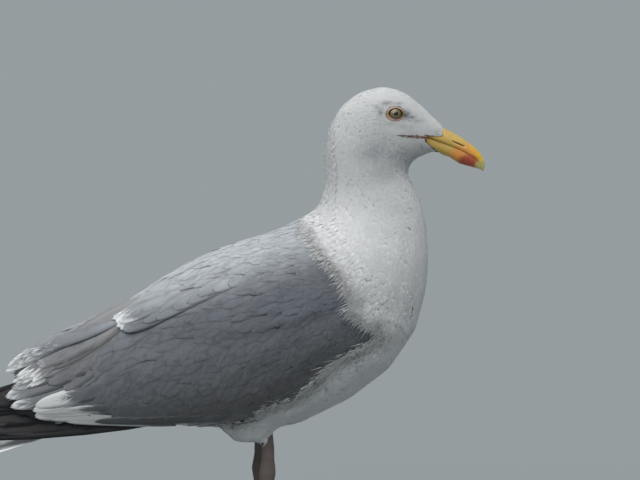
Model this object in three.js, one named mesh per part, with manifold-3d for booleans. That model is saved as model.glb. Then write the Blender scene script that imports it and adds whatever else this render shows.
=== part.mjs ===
// Adult herring gull (Larus argentatus) standing at rest with folded wings, as a still, life-size model.
// Millimetres. +X points forward along the bill, +Y to the bird's left, +Z up, soles on z = 0.
// The whole bird is lofted from named cross-sections and parted into its named pieces by thin cuts.
import * as THREE from 'three';
import { ParametricGeometry } from 'three/addons/geometries/ParametricGeometry.js';
import { mergeVertices } from 'three/addons/utils/BufferGeometryUtils.js';
import Module from 'manifold-3d';

const wasm = await Module();
wasm.setup();

// ---------------------------------------------------------------- driving dimensions

const GAP = 0.3; // clearance between neighbouring pieces
const WELD = 1e-4; // distance within which mesh corners are one corner
const REACH = 400; // half length of a cutting block, larger than the bird

const WING_DEPTH = 5; // thickness of the folded wing over the trunk
const TERTIAL_DEPTH = 1.2; // thickness of the feathers that reach past the trunk, at their tips
const WING_PROUD = 1.2; // how far the wing stands out from the breast plumage
const MANTLE_PROUD = 2.6; // how far the saddle of mantle and scapulars stands out

const EYE = { x: 115.2, y: 14.6, z: 382.7, radius: 7.4 };

const LEG_SPREAD = 26; // sideways distance from the middle of the body to each leg
const LEFT_LEG_BACK = 7; // how far the left leg stands behind the right one
const ANKLE_HEIGHT = 65;
const FOOT_JOINT = { x: 2.4, z: 8 };
const TOE_RADIUS = { base: 3.7, end: 2.5 };
const WEB_THICKNESS = 1.4;
const CLAW_LENGTH = 7.5;

// Toe headings are angles from straight ahead, positive away from the body's middle.
const TOES = [
  { name: 'inner', length: 40, heading: -24 },
  { name: 'middle', length: 50, heading: 3 },
  { name: 'outer', length: 47, heading: 29 },
];
const HIND_TOE = { length: 9, height: 8.5, radius: 2 };
const KNUCKLE = { radius: 6.6, height: 12 }; // room that the foot's knuckle takes behind the toes
const BELLY_OPENING_HEIGHTS = { low: 60, high: 120 }; // between the lower edges of the wings

const COLOURS = {
  white: '#e2e5e4',
  grey: '#9ba1a7',
  paleGrey: '#a9adb1',
  black: '#2a2a2c',
  billYellow: '#d6a431',
  leg: '#b08d86',
  claw: '#3a3230',
  eye: '#c9c08a',
};

// ---------------------------------------------------------------- solids

const radians = THREE.MathUtils.degToRad;
const vector = (x, y, z) => new THREE.Vector3(x, y, z);

/** Corner numbers of a triangle list with the collapsed triangles left out. */
function soundTriangles(corners) {
  const sound = [];
  for (let i = 0; i < corners.length; i += 3) {
    const [a, b, c] = [corners[i], corners[i + 1], corners[i + 2]];
    if (a !== b && b !== c && c !== a) sound.push(a, b, c);
  }
  return sound;
}

/** Six times the signed volume of a closed triangle mesh. */
function signedVolume(positions, corners) {
  const corner = (i) => new THREE.Vector3().fromArray(positions, 3 * corners[i]);
  let sum = 0;
  for (let i = 0; i < corners.length; i += 3) {
    sum += corner(i).dot(corner(i + 1).cross(corner(i + 2)));
  }
  return sum;
}

/** A three.js geometry as a solid for cutting, its faces turned outward. */
function solid(geometry) {
  const bare = geometry.clone();
  bare.deleteAttribute('normal');
  bare.deleteAttribute('uv');
  const merged = mergeVertices(bare, WELD);
  const vertProperties = new Float32Array(merged.attributes.position.array);
  const corners = soundTriangles(merged.index.array);
  if (signedVolume(vertProperties, corners) < 0) corners.reverse();
  const triVerts = new Uint32Array(corners);
  return new wasm.Manifold(new wasm.Mesh({ numProp: 3, vertProperties, triVerts }));
}

/** A named mesh of a finished solid. */
function mesh(name, shape, material) {
  const { vertProperties, triVerts } = shape.getMesh();
  const geometry = new THREE.BufferGeometry();
  geometry.setAttribute('position', new THREE.BufferAttribute(vertProperties, 3));
  geometry.setIndex(new THREE.BufferAttribute(triVerts, 1));
  geometry.computeVertexNormals();
  const piece = new THREE.Mesh(geometry, material);
  piece.name = name;
  return piece;
}

/** A cutting block from one corner to the opposite one. */
function block(low, high) {
  const size = high.clone().sub(low);
  const geometry = new THREE.BoxGeometry(size.x, size.y, size.z);
  const middle = low.clone().add(high).divideScalar(2);
  return solid(geometry.translate(middle.x, middle.y, middle.z));
}

/** Everything on one side of the body: side is 1 for left and -1 for right. */
function bodySide(side) {
  const inner = side * (GAP / 2);
  const outer = side * REACH;
  return block(
    vector(-REACH, Math.min(inner, outer), -REACH),
    vector(REACH, Math.max(inner, outer), 2 * REACH),
  );
}

/**
 * Everything ahead of the slanting plane through two points of the side view, shifted forward.
 * The plane's lower point comes first.
 */
function aheadOf([lowX, lowZ], [highX, highZ], shift) {
  const geometry = new THREE.BoxGeometry(REACH, 2 * REACH, 2 * REACH);
  geometry.translate(REACH / 2 + shift, 0, 0);
  geometry.rotateY(Math.atan2(highX - lowX, highZ - lowZ));
  geometry.translate((lowX + highX) / 2, 0, (lowZ + highZ) / 2);
  return solid(geometry);
}

// ---------------------------------------------------------------- lofting

/** A point of a rounded section: angle 0 is its side and a quarter turn its top. */
function sectionPoint(station, angle, grow, target) {
  const side = Math.cos(angle);
  const rise = Math.sin(angle);
  const roundness = rise > 0 ? station.round.x : station.round.y;
  const height = rise > 0 ? station.size.y : station.size.z;
  const across = Math.sign(side) * Math.abs(side) ** (2 / roundness) * (station.size.x + grow);
  const along = Math.sign(rise) * Math.abs(rise) ** (2 / roundness) * (height + grow);
  target.copy(station.at);
  target.addScaledVector(station.side, across);
  return target.addScaledVector(station.up, along);
}

/**
 * A closed solid through a row of sections, smooth between them. grow moves its surface outward, by one
 * distance or by a function of the place along it, from 0 at the first section to 1 at the last.
 */
function loft(stations, { around = 20, perSpan = 1, grow = 0 } = {}) {
  const growAt = typeof grow === 'function' ? grow : () => grow;
  const track = (key) => new THREE.CatmullRomCurve3(stations.map((s) => s[key]), false, 'catmullrom', 0.5);
  const tracks = { at: track('at'), up: track('up'), side: track('side') };
  const sizes = { size: track('size'), round: track('round') };
  const rings = (stations.length - 1) * perSpan;
  const surface = (u, v, target) => {
    const ring = Math.round(v * (rings + 2)) - 1;
    const t = THREE.MathUtils.clamp(ring / rings, 0, 1);
    const station = {
      at: tracks.at.getPoint(t),
      up: tracks.up.getPoint(t).normalize(),
      side: tracks.side.getPoint(t).normalize(),
      size: sizes.size.getPoint(t),
      round: sizes.round.getPoint(t),
    };
    if (t === 0) station.at.addScaledVector(tracks.at.getTangent(0), -growAt(0));
    if (t === 1) station.at.addScaledVector(tracks.at.getTangent(1), growAt(1));
    if (ring < 0 || ring > rings) return target.copy(station.at);
    return sectionPoint(station, 2 * Math.PI * u, growAt(t), target);
  };
  return solid(new ParametricGeometry(surface, around, rings + 2));
}

/**
 * A section of the body between a point of its upper outline and one of its lower outline.
 * half: half width; level: where it is widest, from 0 below to 1 above; roof and floor: 2 is an ellipse,
 * less is more pointed, more is squarer.
 */
function rib(top, bottom, half, { level = 0.5, roof = 2, floor = 2 } = {}) {
  const upper = vector(top[0], 0, top[1]);
  const lower = vector(bottom[0], 0, bottom[1]);
  const height = upper.distanceTo(lower);
  return {
    at: lower.clone().lerp(upper, level),
    up: upper.clone().sub(lower).normalize(),
    side: vector(0, 1, 0),
    size: vector(half, (1 - level) * height, level * height),
    round: vector(roof, floor, 0),
  };
}

/** A section of a limb: half is across the side direction, depth across the up direction. */
function girth(at, half, depth, up, side = vector(0, 1, 0), roundness = 2) {
  return {
    at,
    up,
    side,
    size: vector(half, depth, depth),
    round: vector(roundness, roundness, 0),
  };
}

// ---------------------------------------------------------------- side-view outlines

/** A smooth closed outline through its points, moved outward by some distance. */
function smoothOutline(points, grow = 0) {
  const curve = new THREE.CatmullRomCurve3(points.map(([x, z]) => vector(x, z, 0)), true, 'centripetal');
  const outline = curve.getPoints(Math.round(points.length * 1.5)).slice(0, -1);
  const turn = Math.sign(THREE.ShapeUtils.area(outline));
  return outline.map((point, i) => {
    const before = outline[(i + outline.length - 1) % outline.length];
    const after = outline[(i + 1) % outline.length];
    const along = new THREE.Vector2(after.x - before.x, after.y - before.y).normalize();
    return new THREE.Vector2(point.x + turn * grow * along.y, point.y - turn * grow * along.x);
  });
}

/** The side-view outline as a block through the whole width of the bird. */
function sideCutter(points, grow = 0) {
  const shape = new THREE.Shape(smoothOutline(points, grow));
  const geometry = new THREE.ExtrudeGeometry(shape, { depth: 2 * REACH, bevelEnabled: false });
  geometry.translate(0, 0, -REACH);
  geometry.rotateX(Math.PI / 2);
  return solid(geometry);
}

/** A top-view outline as a block between two heights. */
function planCutter(points, low, high) {
  const shape = new THREE.Shape(points.map(([x, y]) => new THREE.Vector2(x, y)));
  const geometry = new THREE.ExtrudeGeometry(shape, { depth: high - low, bevelEnabled: false });
  return solid(geometry.translate(0, 0, low));
}

// ---------------------------------------------------------------- the body's sections

/** Sections from the bill's base over the crown and down the neck, fanned about the throat. */
function headAndNeckRibs() {
  return [
    rib([160.5, 366.5], [159, 362], 5, { level: 0.4 }),
    rib([156, 372.8], [151, 355], 9.6, { level: 0.4 }),
    rib([148, 380], [145, 347], 12.4, { level: 0.42 }),
    rib([139, 389], [137.5, 343.6], 15.4, { level: 0.48 }),
    rib([129.5, 397.3], [130.5, 339.6], 18.4, { level: 0.5, roof: 2.2 }),
    rib([118, 403.2], [127.6, 335.6], 20.8, { level: 0.52, roof: 2.3 }),
    rib([103, 406.4], [126.2, 333], 22.6, { level: 0.53, roof: 2.3 }),
    rib([84, 400.6], [125.8, 331], 24, { level: 0.52, roof: 2.2 }),
    rib([66, 386.5], [125.9, 329.2], 25, { level: 0.5, roof: 2.1 }),
    rib([55.4, 367], [126.3, 327.6], 25.6, { level: 0.5 }),
    rib([52, 348], [127.4, 325.4], 26, { level: 0.5 }),
    rib([53.2, 330], [130, 321], 26.6, { level: 0.5 }),
    rib([53, 314.5], [135.6, 310.6], 28, { level: 0.5 }),
    rib([47.5, 299.5], [140.2, 298.5], 31, { level: 0.5 }),
    rib([35, 290], [143, 285], 36, { level: 0.5 }),
    rib([20, 282], [144.6, 268], 43, { level: 0.5, roof: 2.1 }),
    rib([2, 275], [145.2, 250], 51.5, { level: 0.5, roof: 2.15 }),
  ];
}

/** Sections of the breast and trunk with the folded wings, down to the tips of the tertials. */
function trunkRibs() {
  return [
    rib([-18, 269], [142.8, 224], 61, { level: 0.5, roof: 2.2 }),
    rib([-40, 261.6], [133.6, 190], 69, { level: 0.5, roof: 2.3 }),
    rib([-64, 250], [110.5, 156], 73.6, { level: 0.48, roof: 2.3, floor: 2.1 }),
    rib([-86, 237.8], [76, 129.6], 74, { level: 0.46, roof: 2.3, floor: 2.1 }),
    rib([-108, 223.4], [28, 106], 70.5, { level: 0.42, roof: 2.2, floor: 2.2 }),
    rib([-128, 208.6], [-15, 99.6], 65, { level: 0.38, roof: 2.1, floor: 2.4 }),
    rib([-146, 201], [-50, 100.6], 59, { level: 0.34, roof: 2, floor: 2.6 }),
    rib([-166, 195.4], [-86, 103.4], 52, { level: 0.3, roof: 1.9, floor: 3 }),
    rib([-187, 186], [-122, 103.6], 45, { level: 0.26, roof: 1.85, floor: 3 }),
    rib([-206, 174.4], [-160, 103], 37, { level: 0.24, roof: 1.8, floor: 3 }),
    rib([-221, 162.4], [-198, 104], 29.5, { level: 0.24, roof: 1.8, floor: 3 }),
    rib([-236, 149], [-234, 106], 22, { level: 0.28, roof: 1.8, floor: 3 }),
    rib([-250, 136], [-256, 108], 15, { level: 0.3, roof: 1.9, floor: 2.4 }),
  ];
}

/** Sections of the rump and tail coverts that lie under the wings. */
function rumpRibs() {
  return [
    rib([-86, 222], [52, 124], 60, { level: 0.45 }),
    rib([-108, 206], [18, 104.6], 58, { level: 0.42 }),
    rib([-126, 186], [-16, 99.8], 52, { level: 0.4 }),
    rib([-142, 166], [-52, 100.8], 43, { level: 0.42 }),
    rib([-158, 147], [-90, 103], 36, { level: 0.44 }),
    rib([-176, 131], [-130, 100], 31.5, { level: 0.46 }),
    rib([-198, 115.5], [-172, 96.5], 29.5, { level: 0.5 }),
    rib([-214, 106], [-206, 91.5], 27.5, { level: 0.5 }),
  ];
}

/** The whole plumage apart from the flight feathers that reach beyond it. */
function plumage(grow = 0) {
  return loft([...headAndNeckRibs(), ...trunkRibs()], { grow });
}

// ---------------------------------------------------------------- wings

// Side-view outlines: grey saddle over the back, folded wing below it, tertials behind.
const MANTLE_OUTLINE = [
  [34, 300], [38, 280], [54, 260], [66, 246], [74, 231], [62, 217], [27, 205], [-8, 195],
  [-44, 192], [-84, 194], [-118, 193], [-133, 200], [-142, 212], [-120, 250], [-60, 285], [0, 300],
];
const WING_OUTLINE = [
  [60, 250], [78, 234], [74, 214], [90, 203], [92, 191], [76, 181], [58, 166], [46, 151],
  [30, 137.5], [10, 129.5], [-14, 113.5], [-38, 107.5], [-90, 107.2], [-142, 107.2], [-190, 110],
  [-208, 112], [-214, 130], [-200, 230], [-100, 260], [0, 260],
];
const TERTIAL_OUTLINE = [
  [-92, 196], [-118, 178], [-150, 150], [-182, 128], [-206, 115], [-222, 117], [-229, 127],
  [-227, 140], [-222, 151], [-230, 160], [-226, 175], [-200, 220], [-120, 230],
];
// Top-view outline of the space between the lower edges of the two wings.
const BELLY_OPENING = [
  [40, 62], [-50, 50], [-110, 43], [-160, 34], [-200, 26], [-240, 14],
  [-240, -14], [-200, -26], [-160, -34], [-110, -43], [-50, -50], [40, -62],
];

/** Everything under the wing layer, shrunk by a clearance; the layer thins toward the tertials' tips. */
function underWing(gap = 0) {
  const depth = (share) => THREE.MathUtils.lerp(
    WING_DEPTH,
    TERTIAL_DEPTH,
    THREE.MathUtils.smoothstep(share, 0.8, 0.95),
  );
  return plumage((share) => -depth(share) - gap);
}

/** The layer of folded wing plumage: its outer face stands proud and its inner face lies on the trunk. */
function wingLayer(proud, gap = 0) {
  const { low, high } = BELLY_OPENING_HEIGHTS;
  const opening = planCutter(BELLY_OPENING, low, high - gap);
  return plumage(proud + gap).subtract(underWing(gap)).subtract(opening);
}

/** The saddle of mantle and scapulars, across the back. */
function mantle() {
  return wingLayer(MANTLE_PROUD).intersect(sideCutter(MANTLE_OUTLINE));
}

/** Coverts and secondaries of one folded wing. */
function foldedWing(side) {
  const region = sideCutter(WING_OUTLINE)
    .subtract(sideCutter(MANTLE_OUTLINE, GAP))
    .subtract(sideCutter(TERTIAL_OUTLINE, GAP));
  return wingLayer(WING_PROUD).intersect(region).intersect(bodySide(side));
}

/** The long inner feathers that close over the rump. */
function tertials(side) {
  const region = sideCutter(TERTIAL_OUTLINE).subtract(sideCutter(MANTLE_OUTLINE, GAP));
  return wingLayer(WING_PROUD).intersect(region).intersect(bodySide(side));
}

/** A section of the stacked primaries: a thin plate leaning inward from its lower to its upper edge. */
function primaryStation(side, [x, lowY, lowZ], [highY, highZ], thickness) {
  const lower = vector(x, side * lowY, lowZ);
  const upper = vector(x, side * highY, highZ);
  const up = upper.clone().sub(lower).normalize();
  const across = vector(0, up.z, -up.y);
  const middle = lower.clone().lerp(upper, 0.5);
  return girth(middle, thickness / 2, lower.distanceTo(upper) / 2, up, across, 2.6);
}

/** The black outer flight feathers of one wing, stacked, reaching past the tail. */
function primaries(side, grow = 0) {
  const stations = [
    primaryStation(side, [-78, 50, 110.5], [49, 126], 2.2),
    primaryStation(side, [-112, 44, 104.2], [42, 130], 3.6),
    primaryStation(side, [-150, 36.5, 99.8], [33, 132], 3.8),
    primaryStation(side, [-190, 31.5, 96.4], [24, 137], 3.8),
    primaryStation(side, [-218, 29, 94], [13, 147], 3.6),
    primaryStation(side, [-236, 27, 92.8], [11, 138.5], 3.4),
    primaryStation(side, [-256, 24, 92.4], [10, 126], 3.2),
    primaryStation(side, [-277, 20, 93], [10, 115], 2.8),
    primaryStation(side, [-295, 16, 94.6], [10, 106.5], 2.4),
    primaryStation(side, [-308, 13, 97], [11.5, 101.5], 1.8),
  ];
  return loft(stations, { around: 10, grow });
}

// ---------------------------------------------------------------- tail

/** A section of the closed tail, gently roofed across. */
function tailStation(x, z, half, thickness) {
  return girth(vector(x, 0, z), half, thickness / 2, vector(0, 0, 1), vector(0, 1, 0), 2.8);
}

/** The closed tail, from inside its coverts to its rounded end. */
function tail(grow = 0) {
  const stations = [
    tailStation(-172, 112, 16, 3),
    tailStation(-192, 104, 21, 3.6),
    tailStation(-214, 95.6, 23.5, 3.8),
    tailStation(-238, 86.6, 27.5, 3.6),
    tailStation(-260, 79, 32, 3.2),
    tailStation(-272, 75, 32, 2.8),
    tailStation(-280, 72.4, 25, 2.2),
  ];
  return loft(stations, { around: 16, grow });
}

// ---------------------------------------------------------------- head furniture

/** The eyeball of one side. */
function eye(side, grow = 0) {
  const geometry = new THREE.SphereGeometry(EYE.radius + grow, 12, 8);
  return solid(geometry.translate(EYE.x, side * EYE.y, EYE.z));
}

/** The upper half of the bill, hooked at its tip, its root inside the head. */
function upperBill(grow = 0) {
  const ridge = { level: 0.22, roof: 1.75, floor: 3.2 };
  const stations = [
    rib([141, 376], [135, 365], 6, ridge),
    rib([150, 372.6], [143, 361.4], 8.6, ridge),
    rib([158, 369], [152, 357.6], 8.3, ridge),
    rib([166, 365], [160, 354.6], 7.4, ridge),
    rib([175.5, 359.6], [168.5, 351.2], 6.4, ridge),
    rib([184.5, 352.6], [177.5, 347], 5.5, ridge),
    rib([190.6, 346.2], [184.6, 342.4], 4.5, ridge),
    rib([193.8, 340.4], [188.6, 338], 3.3, ridge),
    rib([194.2, 335.6], [190.6, 334.2], 2, ridge),
    rib([193, 331.4], [191.6, 331], 0.9, ridge),
  ];
  return loft(stations, { around: 14, grow });
}

/** The lower half of the bill with its angle, the gonys, its root inside the head. */
function lowerBill(grow = 0) {
  const keel = { level: 0.72, roof: 3.2, floor: 1.8 };
  const stations = [
    rib([135, 363.6], [138, 351], 5.6, keel),
    rib([143, 360.4], [146, 348], 7.9, keel),
    rib([152, 356.6], [155, 346.6], 7.5, keel),
    rib([160, 353.6], [163.6, 344.6], 6.7, keel),
    rib([168.5, 350.2], [172.4, 337.9], 5.8, keel),
    rib([177, 346.2], [179, 335.8], 4.8, keel),
    rib([182.6, 342.6], [184, 333.8], 3.8, keel),
    rib([186.4, 339.4], [187.6, 332.6], 2.4, keel),
  ];
  return loft(stations, { around: 14, grow });
}

// ---------------------------------------------------------------- legs and feet

/** Where one leg stands: the right leg at x = 0 and the left one behind it. */
function legPlace(side) {
  return { x: side > 0 ? -LEFT_LEG_BACK : 0, y: side * LEG_SPREAD };
}

/** A level section of a leg at some height. */
function legStation(side, x, z, half, depth) {
  const place = legPlace(side);
  return girth(vector(place.x + x, place.y, z), half, depth, vector(1, 0, 0));
}

/** The feathered thigh, from inside the belly to the feather edge above the ankle. */
function thigh(side, grow = 0) {
  const stations = [
    legStation(side, 2, 146, 14, 20),
    legStation(side, -3, 130, 17.5, 27),
    legStation(side, -8, 115, 17.5, 27),
    legStation(side, -12.5, 103, 14.5, 23),
    legStation(side, -14.5, 95, 11, 18),
    legStation(side, -13, 90, 7.5, 13.5),
  ];
  return loft(stations, { around: 12, grow });
}

/** The bare shin, from inside the thigh feathers to just above the ankle. */
function shin(side, grow = 0) {
  const stations = [
    legStation(side, 1.6, 108, 3.6, 5),
    legStation(side, 2.8, 90, 3.8, 5.6),
    legStation(side, 2.8, 78, 4, 5.9),
    legStation(side, 2.6, ANKLE_HEIGHT + 6, 4.8, 6.9),
  ];
  return loft(stations, { around: 12, grow });
}

/** The ankle and the long bone below it, down to the toes' root. */
function tarsus(side, grow = 0) {
  const stations = [
    legStation(side, 2.6, ANKLE_HEIGHT + 5.6, 4.9, 7),
    legStation(side, 2.2, ANKLE_HEIGHT, 5.3, 7.6),
    legStation(side, 2, ANKLE_HEIGHT - 8, 4.4, 6.2),
    legStation(side, 2.6, ANKLE_HEIGHT - 20, 3.2, 4.5),
    legStation(side, 2.4, 32, 3, 4.1),
    legStation(side, 2, 19, 3.3, 4.3),
    legStation(side, FOOT_JOINT.x - 0.4, FOOT_JOINT.z + 3, 4.6, 5),
  ];
  return loft(stations, { around: 12, grow });
}

/** Unit vectors along a toe and across it, for an outward heading in degrees. */
function toeFrame(side, heading) {
  const angle = side * radians(heading);
  return {
    ahead: vector(Math.cos(angle), Math.sin(angle), 0),
    across: vector(-Math.sin(angle), Math.cos(angle), 0),
  };
}

/** The point at some distance along a toe, at some height. */
function alongToe(side, toe, distance, height) {
  const place = legPlace(side);
  const { ahead } = toeFrame(side, toe.heading);
  return vector(place.x + FOOT_JOINT.x, place.y, height).addScaledVector(ahead, distance);
}

/** One front toe with its swollen joints, lying on the floor. */
function toe(side, digit) {
  const { across } = toeFrame(side, digit.heading);
  const joints = [0, 0.22, 0.36, 0.5, 0.66, 0.8, 1];
  const swelling = [1.15, 0.92, 1.12, 0.9, 1.1, 0.92, 0.95];
  const stations = joints.map((share, i) => {
    const radius = THREE.MathUtils.lerp(TOE_RADIUS.base, TOE_RADIUS.end, share) * swelling[i];
    const height = THREE.MathUtils.lerp(3.4, 1.7, Math.min(1, share * 3));
    return girth(alongToe(side, digit, share * digit.length, height), radius, radius, vector(0, 0, 1), across);
  });
  return loft(stations, { around: 8 });
}

/** The web between two neighbouring toes, its front edge curving back. */
function web(side, first, second) {
  const tips = [first, second].map((digit) => alongToe(side, digit, digit.length * 0.93, 0));
  const root = alongToe(side, first, 0, 0);
  const sag = tips[0].clone().add(tips[1]).divideScalar(2).lerp(root, 0.16);
  const shape = new THREE.Shape();
  shape.moveTo(root.x, root.y);
  shape.lineTo(tips[0].x, tips[0].y);
  shape.quadraticCurveTo(sag.x, sag.y, tips[1].x, tips[1].y);
  const geometry = new THREE.ExtrudeGeometry(shape, { depth: WEB_THICKNESS, bevelEnabled: false, curveSegments: 5 });
  return solid(geometry);
}

/** The knuckle where the toes meet under the tarsus. */
function footKnuckle(side) {
  const stations = [
    legStation(side, FOOT_JOINT.x - 0.6, FOOT_JOINT.z + 2.7, 4.5, 4.9),
    legStation(side, FOOT_JOINT.x, 5, 5.4, 6),
    legStation(side, FOOT_JOINT.x + 1, 1, 5, 5.6),
    legStation(side, FOOT_JOINT.x + 1, -1, 4, 4.6),
  ];
  return loft(stations, { around: 12 });
}

/** The foot: three webbed toes with flat soles at the floor. */
function foot(side) {
  const floorCut = block(vector(-REACH, -REACH, -REACH), vector(REACH, REACH, 0));
  const pieces = [
    footKnuckle(side),
    ...TOES.map((digit) => toe(side, digit)),
    web(side, TOES[0], TOES[1]),
    web(side, TOES[1], TOES[2]),
  ];
  return pieces.reduce((whole, piece) => whole.add(piece)).subtract(floorCut);
}

/** The short raised toe behind and inside the foot. */
function hindToe(side) {
  const place = legPlace(side);
  const root = vector(place.x + FOOT_JOINT.x - 3, place.y - side * 3, HIND_TOE.height);
  const ahead = vector(-0.86, -side * 0.42, -0.3).normalize();
  const across = vector(-ahead.y, ahead.x, 0).normalize();
  const up = ahead.clone().cross(across).normalize();
  const girthAt = (share, radius) => girth(
    root.clone().addScaledVector(ahead, share * HIND_TOE.length), radius, radius, up, across,
  );
  const stations = [
    girthAt(0, HIND_TOE.radius * 1.1),
    girthAt(0.5, HIND_TOE.radius),
    girthAt(0.8, HIND_TOE.radius * 0.7),
    girthAt(1, HIND_TOE.radius * 0.3),
  ];
  return loft(stations, { around: 10 }).subtract(tarsus(side, GAP)).subtract(knuckleRoom(side));
}

/** The room that the foot's knuckle takes, with clearance round it. */
function knuckleRoom(side) {
  const place = legPlace(side);
  const geometry = new THREE.CylinderGeometry(KNUCKLE.radius, KNUCKLE.radius, KNUCKLE.height, 16);
  geometry.rotateX(Math.PI / 2);
  return solid(geometry.translate(place.x + FOOT_JOINT.x, place.y, KNUCKLE.height / 2 - 1));
}

/** One front claw, ahead of its toe, curving down to the floor. */
function claw(side, digit) {
  const { across } = toeFrame(side, digit.heading);
  const start = digit.length + GAP;
  const curve = [
    { share: 0, height: 1.9, radius: 1.7 },
    { share: 0.35, height: 2.3, radius: 1.5 },
    { share: 0.7, height: 1.7, radius: 1 },
    { share: 1, height: 0.5, radius: 0.35 },
  ];
  const stations = curve.map(({ share, height, radius }) => girth(
    alongToe(side, digit, start + share * CLAW_LENGTH, height), radius, radius, vector(0, 0, 1), across,
  ));
  return loft(stations, { around: 6 });
}

// ---------------------------------------------------------------- flesh, parted

const NECK_CUT = [[129, 322], [53, 331]]; // front and back point of the cut between head and neck
const CHEST_CUT = [[145, 256], [18, 281]]; // front and back point of the cut between neck and trunk

/** Everything above a slanting plane through a front and a back point of the side view. */
function above([[frontX, frontZ], [backX, backZ]], shift) {
  const geometry = new THREE.BoxGeometry(2 * REACH, 2 * REACH, REACH);
  geometry.translate(0, 0, REACH / 2 + shift);
  geometry.rotateY(Math.atan2(backZ - frontZ, frontX - backX));
  geometry.translate((frontX + backX) / 2, 0, (frontZ + backZ) / 2);
  return solid(geometry);
}

/** The room that the folded wings and mantle take, with clearance, down to the trunk. */
function wingRoom() {
  const region = sideCutter(MANTLE_OUTLINE, GAP)
    .add(sideCutter(WING_OUTLINE, GAP))
    .add(sideCutter(TERTIAL_OUTLINE, GAP));
  return region.subtract(underWing(GAP));
}

/** Head, neck and trunk in one, with room for the wings. */
function flesh() {
  const front = plumage().intersect(aheadOf([-22, 99], [-128, 210], 0));
  const rump = loft(rumpRibs(), { around: 16 });
  return front.subtract(wingRoom()).add(rump.intersect(underWing(GAP)));
}

function head(whole) {
  return whole
    .intersect(above(NECK_CUT, GAP / 2))
    .subtract(upperBill(GAP))
    .subtract(lowerBill(GAP))
    .subtract(eye(1, GAP))
    .subtract(eye(-1, GAP));
}

function neck(whole) {
  return whole.subtract(above(NECK_CUT, -GAP / 2)).intersect(above(CHEST_CUT, GAP / 2));
}

function trunk(whole) {
  return whole
    .subtract(above(CHEST_CUT, -GAP / 2))
    .subtract(thigh(1, GAP))
    .subtract(thigh(-1, GAP))
    .subtract(primaries(1, GAP))
    .subtract(primaries(-1, GAP))
    .subtract(tail(GAP));
}

// ---------------------------------------------------------------- materials and scene

function matt(colour, roughness) {
  return new THREE.MeshStandardMaterial({ color: colour, roughness, metalness: 0 });
}

function addPlumage(group) {
  const whole = flesh();
  group.add(mesh('head', head(whole), matt(COLOURS.white, 0.85)));
  group.add(mesh('neck', neck(whole), matt(COLOURS.white, 0.85)));
  group.add(mesh('trunk', trunk(whole), matt(COLOURS.white, 0.85)));
  group.add(mesh('mantle', mantle(), matt(COLOURS.grey, 0.8)));
  group.add(mesh('tail', tail(), matt(COLOURS.white, 0.8)));
}

function addHeadParts(group) {
  group.add(mesh('bill_upper', upperBill(), matt(COLOURS.billYellow, 0.4)));
  group.add(mesh('bill_lower', lowerBill().subtract(upperBill(GAP)), matt(COLOURS.billYellow, 0.4)));
}

function addSide(group, side, label) {
  const outlines = sideCutter(WING_OUTLINE, GAP).add(sideCutter(TERTIAL_OUTLINE, GAP));
  const shell = wingLayer(WING_PROUD, GAP).intersect(outlines);
  group.add(mesh(`wing_${label}`, foldedWing(side), matt(COLOURS.grey, 0.8)));
  group.add(mesh(`tertials_${label}`, tertials(side), matt(COLOURS.paleGrey, 0.8)));
  group.add(mesh(`primaries_${label}`, primaries(side).subtract(shell), matt(COLOURS.black, 0.6)));
  group.add(mesh(`eye_${label}`, eye(side), matt(COLOURS.eye, 0.15)));
  group.add(mesh(`thigh_${label}`, thigh(side).subtract(shin(side, GAP)), matt(COLOURS.white, 0.85)));
  group.add(mesh(`shin_${label}`, shin(side), matt(COLOURS.leg, 0.6)));
  group.add(mesh(`tarsus_${label}`, tarsus(side), matt(COLOURS.leg, 0.6)));
  group.add(mesh(`foot_${label}`, foot(side), matt(COLOURS.leg, 0.6)));
  group.add(mesh(`hind_toe_${label}`, hindToe(side), matt(COLOURS.leg, 0.6)));
  for (const digit of TOES) {
    group.add(mesh(`claw_${digit.name}_${label}`, claw(side, digit), matt(COLOURS.claw, 0.4)));
  }
}

/** The gull with its origin on the floor under the middle of its box. */
function buildGull() {
  const gull = new THREE.Group();
  addPlumage(gull);
  addHeadParts(gull);
  addSide(gull, 1, 'left');
  addSide(gull, -1, 'right');
  const box = new THREE.Box3().setFromObject(gull);
  const middle = box.getCenter(new THREE.Vector3());
  gull.position.set(-middle.x, -middle.y, -box.min.z);
  return gull;
}

export default buildGull();
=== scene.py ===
"""Herring gull, life size: skin, coat, long feathers, bill, eyes, legs and claws around the frame."""

import copy
import dataclasses
import functools
import math

import bmesh
import bpy
import numpy as np
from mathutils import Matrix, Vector
from mathutils.bvhtree import BVHTree
from mathutils.kdtree import KDTree


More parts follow.
